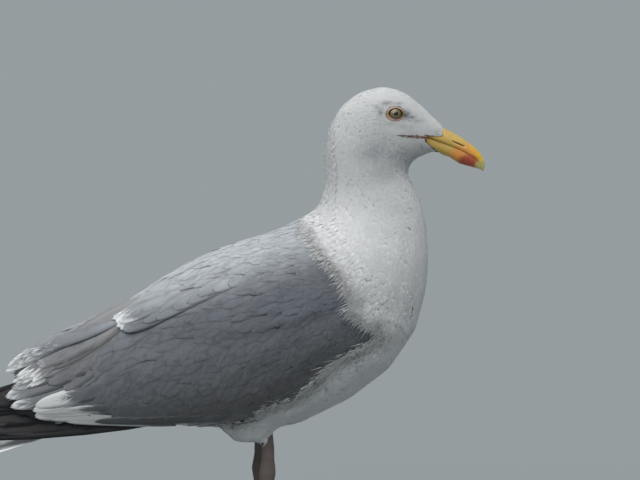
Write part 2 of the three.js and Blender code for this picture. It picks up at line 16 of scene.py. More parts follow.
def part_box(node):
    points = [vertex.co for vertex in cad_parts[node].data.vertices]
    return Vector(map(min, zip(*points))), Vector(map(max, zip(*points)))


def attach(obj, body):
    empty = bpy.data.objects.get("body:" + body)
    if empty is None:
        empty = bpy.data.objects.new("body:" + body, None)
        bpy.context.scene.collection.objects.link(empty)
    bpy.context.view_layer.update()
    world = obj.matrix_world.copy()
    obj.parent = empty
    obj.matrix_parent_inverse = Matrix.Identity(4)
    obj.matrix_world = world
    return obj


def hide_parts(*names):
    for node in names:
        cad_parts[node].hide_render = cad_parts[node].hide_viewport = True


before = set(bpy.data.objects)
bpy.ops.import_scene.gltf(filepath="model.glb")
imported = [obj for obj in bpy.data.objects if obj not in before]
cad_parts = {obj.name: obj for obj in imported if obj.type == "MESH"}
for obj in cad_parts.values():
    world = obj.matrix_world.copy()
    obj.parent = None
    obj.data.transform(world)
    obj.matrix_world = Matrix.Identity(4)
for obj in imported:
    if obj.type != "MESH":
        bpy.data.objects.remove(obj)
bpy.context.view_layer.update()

bl_info = {
    "name": "Herring Gull",
    "version": (1, 0, 0),
    "blender": (4, 5, 0),
    "location": "View3D > Sidebar > Gull",
    "description": "Builds the looks of a life-size herring gull around its frame",
    "category": "Add Mesh",
}

# ---------------------------------------------------------------- places
# Outlines are in the bird's own millimetres: x ahead of the right leg, y to its left, z above the ground.

MM = 0.001
EYE_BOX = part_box("eye_right")
EYE_AHEAD = 115.2
EYE_HEIGHT = 382.7
ORIGIN = np.array([(EYE_BOX[0].x + EYE_BOX[1].x) / 2 - EYE_AHEAD * MM, 0.0, 0.0])
SIDES = {"left": 1, "right": -1}

WHITE_NODES = ("head", "neck", "trunk", "thigh_left", "thigh_right")
GREY_NODES = ("mantle", "wing_left", "wing_right", "tertials_left", "tertials_right")
BARE_NODES = ("eye_left", "eye_right", "bill_upper", "bill_lower", "shin_left", "shin_right")
LEG_NODES = tuple(f"{part}_{side}" for side in SIDES for part in ("shin", "tarsus", "foot", "hind_toe"))
DIGITS = ("inner", "middle", "outer")

# The lie of the coat: a line inside the bird from the bill, over the head and down the neck to the tail.
LIE = (
    (154, 362), (136, 371), (113, 380), (93, 366), (88, 335), (94, 292),
    (82, 245), (30, 205), (-60, 178), (-150, 148), (-262, 108),
)
LIE_STEP = 4.0


def to_row(points):
    """Bird millimetres to the row's metres."""
    return np.asarray(points, float) * MM + ORIGIN


def to_bird(points):
    """The row's metres to bird millimetres."""
    return (np.asarray(points, float) - ORIGIN) / MM


def smooth_step(value, low, high):
    """0 up to low, 1 from high on, and a soft rise between them."""
    share = np.clip((value - low) / (high - low), 0, 1)
    return share * share * (3 - 2 * share)


def unit(vectors):
    """The same ways, each one long."""
    return vectors / np.maximum(np.linalg.norm(vectors, axis=-1, keepdims=True), 1e-12)


def flattened(ways, normals):
    """The ways turned to lie in the surfaces that have these normals."""
    return unit(ways - (ways * normals).sum(1, keepdims=True) * normals)


def square_to(way, axis):
    """The way turned to stand square to an axis."""
    return (way - axis * way.dot(axis)).normalized()


# ---------------------------------------------------------------- sizes and colours


def length_property(name, description, millimetres):
    """A length for the panel, with its first value in millimetres."""
    return bpy.props.FloatProperty(
        name=name, description=description, default=millimetres * MM, unit="LENGTH", precision=5
    )


def colour_property(name, description, rgb):
    """A colour for the panel."""
    return bpy.props.FloatVectorProperty(
        name=name, description=description, default=rgb, subtype="COLOR", size=3, min=0, max=1
    )


class GullSizes(bpy.types.PropertyGroup):
    """Sizes of the coat and of the soft parts."""

    skin_voxel: length_property("Skin voxel", "Size of the cells that join the flesh into one skin", 2.3)
    leg_voxel: length_property("Leg voxel", "Size of the cells that join the leg's parts", 0.75)
    bill_voxel: length_property("Bill voxel", "Size of the cells that smooth the bill", 0.5)
    face_coat: length_property("Face coat", "Depth of the coat round the bill and the eye", 0.6)
    head_coat: length_property("Head coat", "Depth of the coat on the crown", 1.1)
    neck_coat: length_property("Neck coat", "Depth of the coat on the neck", 1.3)
    body_coat: length_property("Body coat", "Depth of the coat on the body", 1.7)
    wing_coat: length_property("Wing coat", "Depth of the coverts on the folded wing", 2.4)
    iris: length_property("Iris", "Radius of the iris", 5.7)
    pupil: length_property("Pupil", "Radius of the pupil", 2.15)
    eyeball: length_property("Eyeball", "Radius of the eyeball", 7.4)
    camera_distance: length_property("Camera distance", "From the bird to the camera", 5000)
    camera_lens: bpy.props.FloatProperty(
        name="Camera lens", description="Focal length on a 36 mm sensor", default=318
    )
    camera_height: bpy.props.FloatProperty(
        name="Camera elevation",
        description="Angle of the camera above the horizon",
        default=math.radians(4),
        subtype="ANGLE",
    )


class GullColours(bpy.types.PropertyGroup):
    """Colours of the plumage and of the bare parts."""

    white: colour_property("White", "Head, neck, underparts and tail", (0.825, 0.825, 0.815))
    grey: colour_property("Grey", "Wings", (0.151, 0.162, 0.181))
    # The pale grey of the top of the back and scapulars is a painted highlight; the deep grey of the wing's
    # lower edge is painted shade.
    lit_grey: colour_property("Lit grey", "Top of the back and scapulars", (0.435, 0.455, 0.48))
    shaded_grey: colour_property("Shaded grey", "Lower edge of the wing", (0.097, 0.099, 0.103))
    brown: colour_property("Worn brown", "Faded edges of the long inner feathers", (0.22, 0.21, 0.205))
    black: colour_property("Black", "Wing tips", (0.011, 0.0115, 0.012))
    # This colour paints both the dusky marks round the eye and the painted shade under the cheek and on the
    # throat.
    smudge: colour_property("Smudge", "Dusky marks round the eye", (0.13, 0.14, 0.165))
    bill: colour_property("Bill", "Yellow horn of the bill", (0.50, 0.33, 0.075))
    bill_spot: colour_property("Bill spot", "Red spot near the tip", (0.33, 0.05, 0.026))
    bill_tip: colour_property("Bill tip", "Pale horn at the tip", (0.48, 0.45, 0.22))
    iris: colour_property("Iris", "Pale iris", (0.108, 0.108, 0.056))
    lid: colour_property("Eyelid", "Ring of bare skin round the eye", (0.48, 0.33, 0.28))
    lid_corner: colour_property("Lid corner", "Ochre skin at the eye's corners", (0.22, 0.155, 0.07))
    gape: colour_property("Gape", "Fleshy corner of the mouth", (0.25, 0.14, 0.11))
    leg: colour_property("Leg", "Skin of the legs and feet", (0.118, 0.092, 0.081))
    claw: colour_property("Claw", "Dark horn of the claws", (0.035, 0.03, 0.028))
    floor: colour_property("Floor", "Plain pale floor", (0.224, 0.245, 0.249))
    sky: colour_property("Sky", "Light of the room", (0.80, 0.88, 0.95))


# ---------------------------------------------------------------- shader wiring


class Wire:
    """A shader socket that can stand in a sum or a product."""

    def __init__(self, paint, socket):
        self.paint = paint
        self.socket = socket

    def __add__(self, other):
        return self.paint.math("ADD", self, other)

    def __radd__(self, other):
        return self.paint.math("ADD", other, self)

    def __sub__(self, other):
        return self.paint.math("SUBTRACT", self, other)

    def __rsub__(self, other):
        return self.paint.math("SUBTRACT", other, self)

    def __mul__(self, other):
        return self.paint.math("MULTIPLY", self, other)

    def __rmul__(self, other):
        return self.paint.math("MULTIPLY", other, self)

    def __pow__(self, other):
        return self.paint.math("POWER", self, other)


class Paint:
    """One material while its nodes are wired."""

    def __init__(self, name, **constants):
        self.material = bpy.data.materials.new(name)
        self.material.use_nodes = True
        self.tree = self.material.node_tree
        self.shader = self.tree.nodes["Principled BSDF"]
        for socket, value in constants.items():
            self.shader.inputs[socket.replace("_", " ")].default_value = value

    def node(self, kind, settings=None, inputs=None, output=0):
        """Any node: its settings first, then the values or wires of its sockets."""
        made = self.tree.nodes.new(kind)
        for key, value in (settings or {}).items():
            setattr(made, key, value)
        for key, value in (inputs or {}).items():
            self.feed(made.inputs[key], value)
        return Wire(self, made.outputs[output])

    def feed(self, socket, value):
        """Puts a wire or a plain value into a socket."""
        if isinstance(value, Wire):
            self.tree.links.new(value.socket, socket)
        else:
            socket.default_value = value

    def math(self, operation, *values):
        """One sum of wires and numbers."""
        return self.node("ShaderNodeMath", {"operation": operation}, dict(enumerate(values)))

    def attribute(self, name):
        """A number that the mesh holds under this name."""
        return self.node("ShaderNodeAttribute", {"attribute_name": name}, output=2)

    def mix(self, share, first, second):
        """A blend of two colours, each a wire or an (r, g, b)."""
        first, second = (c if isinstance(c, Wire) else (*c, 1) for c in (first, second))
        settings = {"data_type": "RGBA", "clamp_factor": True}
        return self.node("ShaderNodeMix", settings, {0: share, 6: first, 7: second}, output=2)

    def scale(self, colour, factor):
        """A colour, a wire or an (r, g, b), made brighter or darker."""
        return self.node("ShaderNodeVectorMath", {"operation": "SCALE"}, {0: colour, 3: factor})

    def ramp(self, value, low, high):
        """0 at low and 1 at high, rising softly between them."""
        settings = {"interpolation_type": "SMOOTHSTEP"}
        return self.node("ShaderNodeMapRange", settings, {0: value, 1: low, 2: high})

    def noise(self, vector, scale, detail, roughness=0.5):
        """Soft random grain, from 0 to 1."""
        inputs = {"Vector": vector, "Scale": scale, "Detail": detail, "Roughness": roughness}
        return self.node("ShaderNodeTexNoise", None, inputs)

    def join(self, x, y, z):
        """Three numbers as one vector."""
        return self.node("ShaderNodeCombineXYZ", None, {0: x, 1: y, 2: z})

    def place(self):
        """Object coordinates, as one wire."""
        return self.node("ShaderNodeTexCoord", output=3)

    def axes(self):
        """Bird millimetres x, y and z as three wires."""
        split = self.node("ShaderNodeSeparateXYZ", None, {0: self.place()}).socket.node
        x, y, z = (Wire(self, split.outputs[axis]) for axis in range(3))
        return (x - float(ORIGIN[0])) * (1 / MM), y * (1 / MM), z * (1 / MM)

    def vane(self):
        """Across and along a feather, from its own UV map."""
        uv = self.node("ShaderNodeUVMap", {"uv_map": "Vane"})
        split = self.node("ShaderNodeSeparateXYZ", None, {0: uv}).socket.node
        return Wire(self, split.outputs[0]), Wire(self, split.outputs[1])

    def spot(self, x, z, centre, radii, soft):
        """1 inside an ellipse seen from the side, fading over its soft rim."""
        across = ((x - centre[0]) * (1 / radii[0])) ** 2.0
        up = ((z - centre[1]) * (1 / radii[1])) ** 2.0
        return self.ramp(across + up, 1 + soft, 1 - soft)

    def finish(self, colour, roughness=None, height=None, depth=0.0, strength=0.0):
        """The material, once its colour is wired, and its roughness and bump where they vary."""
        self.feed(self.shader.inputs["Base Color"], colour)
        if roughness is not None:
            self.feed(self.shader.inputs["Roughness"], roughness)
        if height is not None:
            inputs = {"Strength": strength, "Distance": depth, "Height": height}
            bump = self.node("ShaderNodeBump", None, inputs)
            self.feed(self.shader.inputs["Normal"], bump)
        return self.material


# ---------------------------------------------------------------- meshes


def merged_copy(names):
    """CAD nodes as one bmesh with their corners joined."""
    bm = bmesh.new()
    for name in names:
        bm.from_mesh(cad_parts[name].data)
    bmesh.ops.remove_doubles(bm, verts=bm.verts, dist=1e-6)
    return bm


def smoothed(bm, rounds, verts=None):
    """Evens out the whole bmesh, or only the given corners of it."""
    verts = bm.verts if verts is None else verts
    for _ in range(rounds):
        bmesh.ops.smooth_vert(bm, verts=verts, factor=0.5, use_axis_x=True, use_axis_y=True, use_axis_z=True)
    return bm


def remeshed(bm, voxel, rounds):
    """The bmesh's solids as one even skin of small faces, smoothed."""
    mesh = bpy.data.meshes.new("remesh")
    bm.to_mesh(mesh)
    bm.free()
    holder = bpy.data.objects.new("remesh", mesh)
    bpy.context.scene.collection.objects.link(holder)
    modifier = holder.modifiers.new("remesh", "REMESH")
    modifier.mode = "VOXEL"
    modifier.voxel_size = voxel
    graph = bpy.context.evaluated_depsgraph_get()
    even = bpy.data.meshes.new_from_object(holder.evaluated_get(graph))
    bpy.data.objects.remove(holder)
    bpy.data.meshes.remove(mesh)
    result = bmesh.new()
    result.from_mesh(even)
    bpy.data.meshes.remove(even)
    return smoothed(result, rounds)


def refit(bm, names, reach):
    """Brings a smoothed bmesh back out to the CAD nodes it came from."""
    original = merged_copy(names)
    tree = BVHTree.FromBMesh(original)
    original.free()
    for _ in range(2):
        for vert in bm.verts:
            near, _, _, far = tree.find_nearest(vert.co)
            if far < reach:
                vert.co = near
        smoothed(bm, 1)
    return bm


def piece(name, mesh, material, replaces=()):
    """A finished piece, riding on the frame's one body."""
    made = bpy.data.objects.new(name, mesh)
    bpy.context.scene.collection.objects.link(made)
    made.data.materials.clear()
    made.data.materials.append(material)
    made.data.shade_smooth()
    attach(made, "root")
    if replaces:
        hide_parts(*replaces)
    return made


def mesh_of(bm, name):
    """The finished bmesh as a mesh."""
    mesh = bpy.data.meshes.new(name)
    bm.to_mesh(mesh)
    bm.free()
    return mesh


def number_layer(bm, name):
    """The layer of a bmesh that holds one number for each corner, made where it isn't there yet."""
    layers = bm.verts.layers.float
    return layers.get(name) or layers.new(name)


def points_of(mesh):
    """The corners of a mesh, one row each."""
    co = np.empty(len(mesh.vertices) * 3)
    mesh.vertices.foreach_get("co", co)
    return co.reshape(-1, 3)


def normals_of(mesh):
    """The facings of a mesh's corners, one row each."""
    normals = np.empty(len(mesh.vertices) * 3)
    mesh.vertex_normals.foreach_get("vector", normals)
    return normals.reshape(-1, 3)


def mark(mesh, name, values):
    """A number at each vertex that a material can read."""
    made = mesh.attributes.get(name) or mesh.attributes.new(name, "FLOAT", "POINT")
    made.data.foreach_set("value", np.ascontiguousarray(values, dtype=np.float32))


class Hull:
    """The outer surface of the plumage, the node each place belongs to, and the lie of the coat on it."""

    def __init__(self, voxel):
        names = WHITE_NODES + GREY_NODES + BARE_NODES
        bm = self.rounded(remeshed(merged_copy(names), voxel, 5))
        bmesh.ops.triangulate(bm, faces=bm.faces)
        self.mesh = bpy.data.meshes.new("hull")
        bm.to_mesh(self.mesh)
        self.tree = BVHTree.FromBMesh(bm)
        bm.free()
        self.points = points_of(self.mesh)
        self.normals = normals_of(self.mesh)
        corners = np.empty(len(self.mesh.polygons) * 3, int)
        self.mesh.loops.foreach_get("vertex_index", corners)
        self.faces = corners.reshape(-1, 3)
        a, b, c = (self.points[self.faces[:, k]] for k in range(3))
        self.areas = np.linalg.norm(np.cross(b - a, c - a), axis=1) / 2
        self.names = names
        self.labels = self.label(self.points)
        knots = np.array([(x, 0, z) for x, z in LIE], float)
        runs = np.concatenate([[0], np.cumsum(np.linalg.norm(np.diff(knots, axis=0), axis=1))])
        self.run = np.arange(0, runs[-1], LIE_STEP)
        self.line = np.stack([np.interp(self.run, runs, knots[:, k]) for k in range(3)], 1)
        kernel = np.ones(7) / 7
        for axis in (0, 2):
            padded = np.pad(self.line[:, axis], 3, mode="edge")
            self.line[:, axis] = np.convolve(padded, kernel, "valid")
        self.tangents = unit(np.gradient(self.line, axis=0))

    @staticmethod
    def rounded(bm):
        """Evens out head and breast, fills the crown's rear and draws up the thighs' lower ends."""
        head = []
        breast = []
        for vert in bm.verts:
            bird = to_bird(vert.co)
            x, y, z = bird
            beside_eye = math.hypot(x - EYE_AHEAD, z - EYE_HEIGHT) < 15 and abs(y) > 11
            if z > 290 and x < 138 and not beside_eye:
                head.append(vert)
            elif 104 < z < 305 and in_front(bird, 12):
                breast.append(vert)
        smoothed(bm, 16, head)
        smoothed(bm, 10, breast)
        bm.normal_update()
        for vert in head:
            x, _, z = to_bird(vert.co)
            crown = math.exp(-((x - 74) ** 2 + (z - 396) ** 2) / 17**2)
            share = smooth_step(z, 290, 305) * (1 - smooth_step(x, 124, 138))
            vert.co += vert.normal * ((0.45 + 1.2 * crown) * share * MM)
        for vert in bm.verts:
            z = to_bird(vert.co)[2]
            vert.co.z += 3.2 * MM * smooth_step(z, 80, 90) * (1 - smooth_step(z, 92, 112))
        return bm

    def label(self, points):
        """The number of the CAD node nearest each point."""
        corners = []
        triangles = []
        owners = []
        for number, name in enumerate(self.names):
            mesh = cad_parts[name].data
            start = len(corners)
            corners.extend(Vector(v.co) for v in mesh.vertices)
            for face in mesh.polygons:
                triangles.append([start + v for v in face.vertices])
                owners.append(number)
        tree = BVHTree.FromPolygons(corners, triangles)
        return np.array([owners[tree.find_nearest(point)[2]] for point in points.tolist()])

    def thickness(self):
        """How thick the hull is behind each of its corners."""
        starts = self.points - self.normals * 0.1 * MM
        pairs = zip(starts.tolist(), self.normals.tolist())
        reaches = [self.tree.ray_cast(start, -Vector(normal))[3] for start, normal in pairs]
        return np.array([1.0 if reach is None else reach for reach in reaches])

    def settle(self, points):
        """The nearest places on the hull and the smooth normals there."""
        found = [self.tree.find_nearest(point) for point in points.reshape(-1, 3).tolist()]
        on = np.array([hit[0] for hit in found])
        corners = self.faces[np.array([hit[2] for hit in found])]
        reach = np.linalg.norm(self.points[corners] - on[:, None], axis=2)
        weights = 1 / (reach + 0.2 * MM)
        normals = unit((self.normals[corners] * weights[..., None]).sum(1))
        return on.reshape(points.shape), normals.reshape(points.shape)

    def flow(self, points, normals):
        """How far along the lie each place is, its turn round the line, and the way its feathers point."""
        bird = to_bird(points)
        gaps = bird[:, None] - self.line[None]
        weights = 1 / ((gaps**2).sum(2) + 16) ** 3
        weights /= weights.sum(1, keepdims=True)
        run = weights @ self.run
        ahead = unit(weights @ self.tangents)
        centre = weights @ self.line
        up = np.stack([ahead[:, 2], np.zeros(len(run)), -ahead[:, 0]], 1)
        offset = bird - centre
        turn = np.arctan2(offset[:, 1], (offset * up).sum(1))
        return run, turn, flattened(ahead, normals)


@functools.lru_cache(maxsize=1)
def plumage_hull():
    """The one hull that all plumage is laid on."""
    return Hull(bpy.context.scene.gull_sizes.skin_voxel)


def scatter(hull, rng, allowed, spacing, crowding=3.2):
    """Random places on the hull, no two closer than the spacing where they lie."""
    middles = hull.points[hull.faces].mean(1)
    gap = spacing(middles)
    chance = hull.areas / gap**2 * allowed[hull.faces].all(1)
    count = int(chance.sum() * crowding)
    chosen = rng.choice(len(chance), count, p=chance / chance.sum())
    a, b = rng.random((2, count, 1))
    root = np.sqrt(a)
    corners = hull.points[hull.faces[chosen]]
    places = corners[:, 0] * (1 - root) + corners[:, 1] * root * (1 - b) + corners[:, 2] * root * b
    gaps = gap[chosen]
    tree = KDTree(count)
    for number, place in enumerate(places.tolist()):
        tree.insert(place, number)
    tree.balance()
    kept = np.ones(count, bool)
    for number, (place, reach) in enumerate(zip(places.tolist(), gaps.tolist())):
        if kept[number]:
            for _, other, _ in tree.find_range(place, reach):
                if other > number:
                    kept[other] = False
    return places[kept]


# ---------------------------------------------------------------- feathers


class Vane:
    """One closed feather shape: a thin lens over a grid, made once and copied many times."""

    def __init__(self, columns, rows, alongs, widths, comb=None):
        """alongs and widths say where each row lies and how wide it is; comb, how far each tip stays back."""
        bm = bmesh.new()
        layer = bm.verts.layers.float.new("rise")
        for rise in (1.0, -0.35):
            made = bmesh.ops.create_grid(bm, x_segments=columns, y_segments=rows, size=1)
            for vert in made["verts"]:
                across, along = vert.co.x, (vert.co.y + 1) / 2
                edge = abs(across) > 0.999 or along < 0.001 or along > 0.999
                vert[layer] = 0.0 if edge else rise * (1 - across * across)
            if rise < 0:
                faces = {face for vert in made["verts"] for face in vert.link_faces}
                bmesh.ops.reverse_faces(bm, faces=list(faces))
        bmesh.ops.remove_doubles(bm, verts=[v for v in bm.verts if v[layer] == 0.0], dist=1e-4)
        drops = comb or [0.0] * (columns + 1)
        for vert in bm.verts:
            across, step = vert.co.x, (vert.co.y + 1) / 2
            column = round((across + 1) / 2 * columns)
            along = np.interp(step, np.linspace(0, 1, rows + 1), alongs)
            width = np.interp(step, np.linspace(0, 1, rows + 1), widths)
            if step > 0.999:
                along -= drops[column]
            vert.co = (across * width, along, vert[layer])
        for face in list(bm.faces):
            inner = [vert for vert in face.verts if vert[layer] != 0.0]
            start = min(inner, key=lambda vert: (round(abs(vert.co.x), 5), vert.co.x, vert.co.y))
            order = list(face.verts)
            opposite = order[(order.index(start) + 2) % 4]
            bmesh.utils.face_split(face, start, opposite)
        bmesh.ops.triangulate(bm, faces=bm.faces)
        bm.verts.index_update()
        self.across, self.along, self.rise = np.array([v.co for v in bm.verts]).T
        self.faces = np.array([[v.index for v in face.verts] for face in bm.faces])
        bm.free()
        spots = np.round(np.stack([self.across, self.along], 1), 4)
        self.twins = np.unique(spots, axis=0, return_inverse=True)[1].reshape(-1)
        points = np.stack([self.across, self.along, self.rise], 1)
        a, b, c = (points[self.faces[:, k]] for k in range(3))
        if np.einsum("ij,ij->", np.cross(a, b), c) < 0:
            self.faces = self.faces[:, ::-1]
        self.map = np.stack([self.across * 0.5 + 0.5, self.along], 1)

    def frayed(self, rng, count, amount, start):
        """Random shifts along each copy past the start, the same on its upper and under side."""
        shifts = rng.normal(0, amount, (count, self.twins.max() + 1))[:, self.twins]
        return shifts * (self.along > start)

    def mirrored(self):
        """The same vane with its faces turned over, for copies that were mirrored."""
        turned = copy.copy(self)
        turned.faces = self.faces[:, ::-1]
        return turned


def blade_vane():
    """A narrow vane with a point."""
    return Vane(2, 2, (0, 0.5, 1), (0.3, 1, 0.12))


def tuft_vane():
    """A short vane with an uneven, open tip."""
    return Vane(4, 2, (0, 0.52, 1), (0.4, 1, 0.6), (0.16, 0.17, 0.0, 0.16, 0.18))


def covert_vane():
    """A broad vane with a rounded tip."""
    return Vane(2, 5, (0, 0.25, 0.5, 0.74, 0.9, 1), (0.3, 0.8, 1, 0.82, 0.5, 0.1))


def flight_vane():
    """A long vane with enough faces to bend smoothly."""
    alongs = (0, 0.12, 0.3, 0.5, 0.68, 0.82, 0.91, 0.965, 1)
    widths = (0.25, 0.6, 0.88, 1, 0.97, 0.84, 0.64, 0.4, 0.1)
    return Vane(4, 8, alongs, widths)


@dataclasses.dataclass
class Lie:
    """How feathers of one kind lie: spacing and width as shares of their length, and how loosely they lie."""

    spacing: float = 0.24
    width: float = 0.45
    sway: float = 0.12
    ragged: float = 0.05
    loose: float = 0.05
    bury: float = 3.0
    thickness: float = 0.06
    stiffness: float = 0.2


class Plume:
    """Many copies of one vane gathered into one mesh."""

    def __init__(self, vane, points, guides, stiffness):
        """points and guides are (feathers, corners, 3): where each corner is, and the body's normal there."""
        self.vane = vane
        self.count = len(points)
        self.points = points
        self.guides = guides
        self.stiffness = stiffness

    def mesh(self, name, marks, bake):
        """marks: numbers for each feather; bake: the corners' places on the OFBake map."""
        size = len(self.vane.across)
        faces = (self.vane.faces[None] + np.arange(self.count)[:, None, None] * size).reshape(-1, 3)
        mesh = bpy.data.meshes.new(name)
        mesh.vertices.add(self.count * size)
        mesh.vertices.foreach_set("co", self.points.reshape(-1).astype(np.float32))
        mesh.loops.add(faces.size)
        mesh.loops.foreach_set("vertex_index", faces.reshape(-1).astype(np.int32))
        mesh.polygons.add(len(faces))
        mesh.polygons.foreach_set("loop_start", np.arange(0, faces.size, 3, dtype=np.int32))
        mesh.update(calc_edges=True)
        mesh.shade_smooth()
        for key, values in marks.items():
            mark(mesh, key, np.repeat(values, size) if len(values) == self.count else values)
        corners = faces.reshape(-1)
        maps = {"OFBake": bake.reshape(-1, 2), "Vane": np.tile(self.vane.map, (self.count, 1))}
        for key, values in maps.items():
            layer = mesh.uv_layers.new(name=key)
            layer.data.foreach_set("uv", values[corners].reshape(-1).astype(np.float32))
        mesh.uv_layers["OFBake"].active_render = True
        faced = np.where(self.vane.rise < 0, -1.0, 1.0)
        guides = (self.guides * faced[None, :, None]).reshape(-1, 3)
        soft = unit(normals_of(mesh) * self.stiffness + guides * (1 - self.stiffness))
        made = mesh.attributes.new("custom_normal", "FLOAT_VECTOR", "CORNER")
        made.data.foreach_set("vector", soft[corners].reshape(-1).astype(np.float32))
        return mesh


# A corner whose body normal turns from the root's by more than this share stays on the straight feather.
FOLDED = 0.15


def laid(hull, vane, roots, directions, lengths, widths, depths, rng, lie, over, beside=None):
    """Feathers lying on the hull: buried at the root, and as far over it at the tip as over says.

    Those marked beside lie on the smooth side field instead, which carries on past the wing's thin edges.
    """
    _, normals = hull.settle(roots)
    sides = np.cross(directions, normals)
    sway = rng.normal(0, lie.sway, len(roots))[:, None]
    ahead = unit(directions + sides * sway)
    sides = np.cross(ahead, normals)
    along = vane.along[None] * (1 + vane.frayed(rng, len(roots), lie.ragged, 0.6))
    bend = rng.normal(0, 0.09, len(roots))[:, None] * along**2
    flat = (
        roots[:, None]
        + ahead[:, None] * (along * lengths[:, None])[..., None]
        + sides[:, None] * (vane.across[None] * widths[:, None] + bend * lengths[:, None])[..., None]
    )
    on, guides = hull.settle(flat)
    if beside is not None:
        side_on, side_guides = side_field().settle(flat)
        on = np.where(beside[:, None, None], side_on, on)
        guides = np.where(beside[:, None, None], side_guides, guides)
    turned = (guides * normals[:, None]).sum(2, keepdims=True) < FOLDED
    on = np.where(turned, flat, on)
    guides = np.where(turned, normals[:, None], guides)
    lift = rng.random(len(roots))[:, None] * lie.loose * along**2
    height = depths[:, None] * (lift - (1 - vane.along[None]) ** lie.bury)
    height = height + vane.rise[None] * lie.thickness * widths[:, None]
    height = height + np.broadcast_to(over, len(roots))[:, None] * vane.along[None]
    return Plume(vane, on + guides * height[..., None], guides, lie.stiffness)


class SideField:
    """How far out from the middle the wing's surface lies, over the side view, carried on past its edges."""

    STEP = 4.0
    LENGTHS = (-330, 100)
    HEIGHTS = (60, 310)
    NEAREST = 14
    GROWTH_ROUNDS = 60
    SMOOTHING_ROUNDS = 5

    def __init__(self, hull):
        self.x = np.arange(*self.LENGTHS, self.STEP)
        self.z = np.arange(*self.HEIGHTS, self.STEP)
        cells_hit = []
        places = []
        for row, x in enumerate(self.x):
            for column, z in enumerate(self.z):
                start = Vector(to_row((x, -150, z)))
                hit = hull.tree.ray_cast(start, Vector((0, 1, 0)))[0]
                if hit is not None and hit.y < -self.NEAREST * MM:
                    cells_hit.append((row, column))
                    places.append(hit)
        places = np.array(places)
        known = np.zeros((len(self.x), len(self.z)), bool)
        out = np.zeros(known.shape)
        for cell, place, grey in zip(cells_hit, places, is_grey(hull, hull.label(places), places)):
            if grey:
                known[cell] = True
                out[cell] = -place[1] / MM
        filled = out
        reached = known
        for _ in range(self.GROWTH_ROUNDS):
            total = self.around(filled * reached)
            count = self.around(reached.astype(float))
            filled = np.where(known, out, np.where(count > 0, total / np.maximum(count, 1), 0))
            reached = reached | (count > 0)
        for _ in range(self.SMOOTHING_ROUNDS):
            filled = (filled * 4 + self.around(filled)) / 8
        self.out = filled

    @staticmethod
    def around(grid):
        """Each cell's four neighbours, added up."""
        return sum(np.roll(grid, shift, axis) for shift in (-1, 1) for axis in (0, 1))

    def at(self, x, z):
        """How far out the surface lies, in millimetres, between the grid's cells."""
        row = np.clip((x - self.x[0]) / self.STEP, 0, len(self.x) - 1.001)
        column = np.clip((z - self.z[0]) / self.STEP, 0, len(self.z) - 1.001)
        i, j = row.astype(int), column.astype(int)
        a, b = row - i, column - j
        grid = self.out
        low = grid[i, j] * (1 - a) + grid[i + 1, j] * a
        high = grid[i, j + 1] * (1 - a) + grid[i + 1, j + 1] * a
        return low * (1 - b) + high * b

    def settle(self, points):
        """The places on the field beside the points, and its normals there."""
        bird = to_bird(points)
        x, z = bird[..., 0], bird[..., 2]
        side = np.sign(bird[..., 1])
        ahead, up = field_slopes(self, x, z, 2.0)
        guides = unit(np.stack([-ahead, side, -up], -1))
        return to_row(np.stack([x, side * self.at(x, z), z], -1)), guides


@functools.lru_cache(maxsize=1)
def side_field():
    """The one side field of the plumage hull."""
    return SideField(plumage_hull())


def field_slopes(field, x, z, step):
    """How fast a field moves out, going ahead and going up."""
    ahead = (field.at(x + step, z) - field.at(x - step, z)) / (2 * step)
    up = (field.at(x, z + step) - field.at(x, z - step)) / (2 * step)
    return ahead, up


@dataclasses.dataclass
class Row:
    """One row of long wing feathers, from its first to its last; places are x, z in bird millimetres."""

    count: int
    tips: tuple
    lengths: tuple
    slopes: tuple
    half_widths: tuple
    root_lift: float
    tip_lifts: tuple
    white: tuple = (0, 0)
    worn: tuple = (0, 0)
    bend: float = 0.03
    tilt: float = 0.0
    hug: bool = False
    stray: float = 2.2
    ragged: float = 0.006
    # Below nought, how much darker the row's feathers are painted, as painted shade.
    tone: float = 0.0

    def spread(self, pair):
        """The row's values, from the first of the pair to the second."""
        return np.linspace(pair[0], pair[1], self.count)


# A hugging row lies on the hull ahead of the second of these places and leaves it behind the first one.
HUG_REACH = (-208, -178)
HUG_LIFT = 1.6


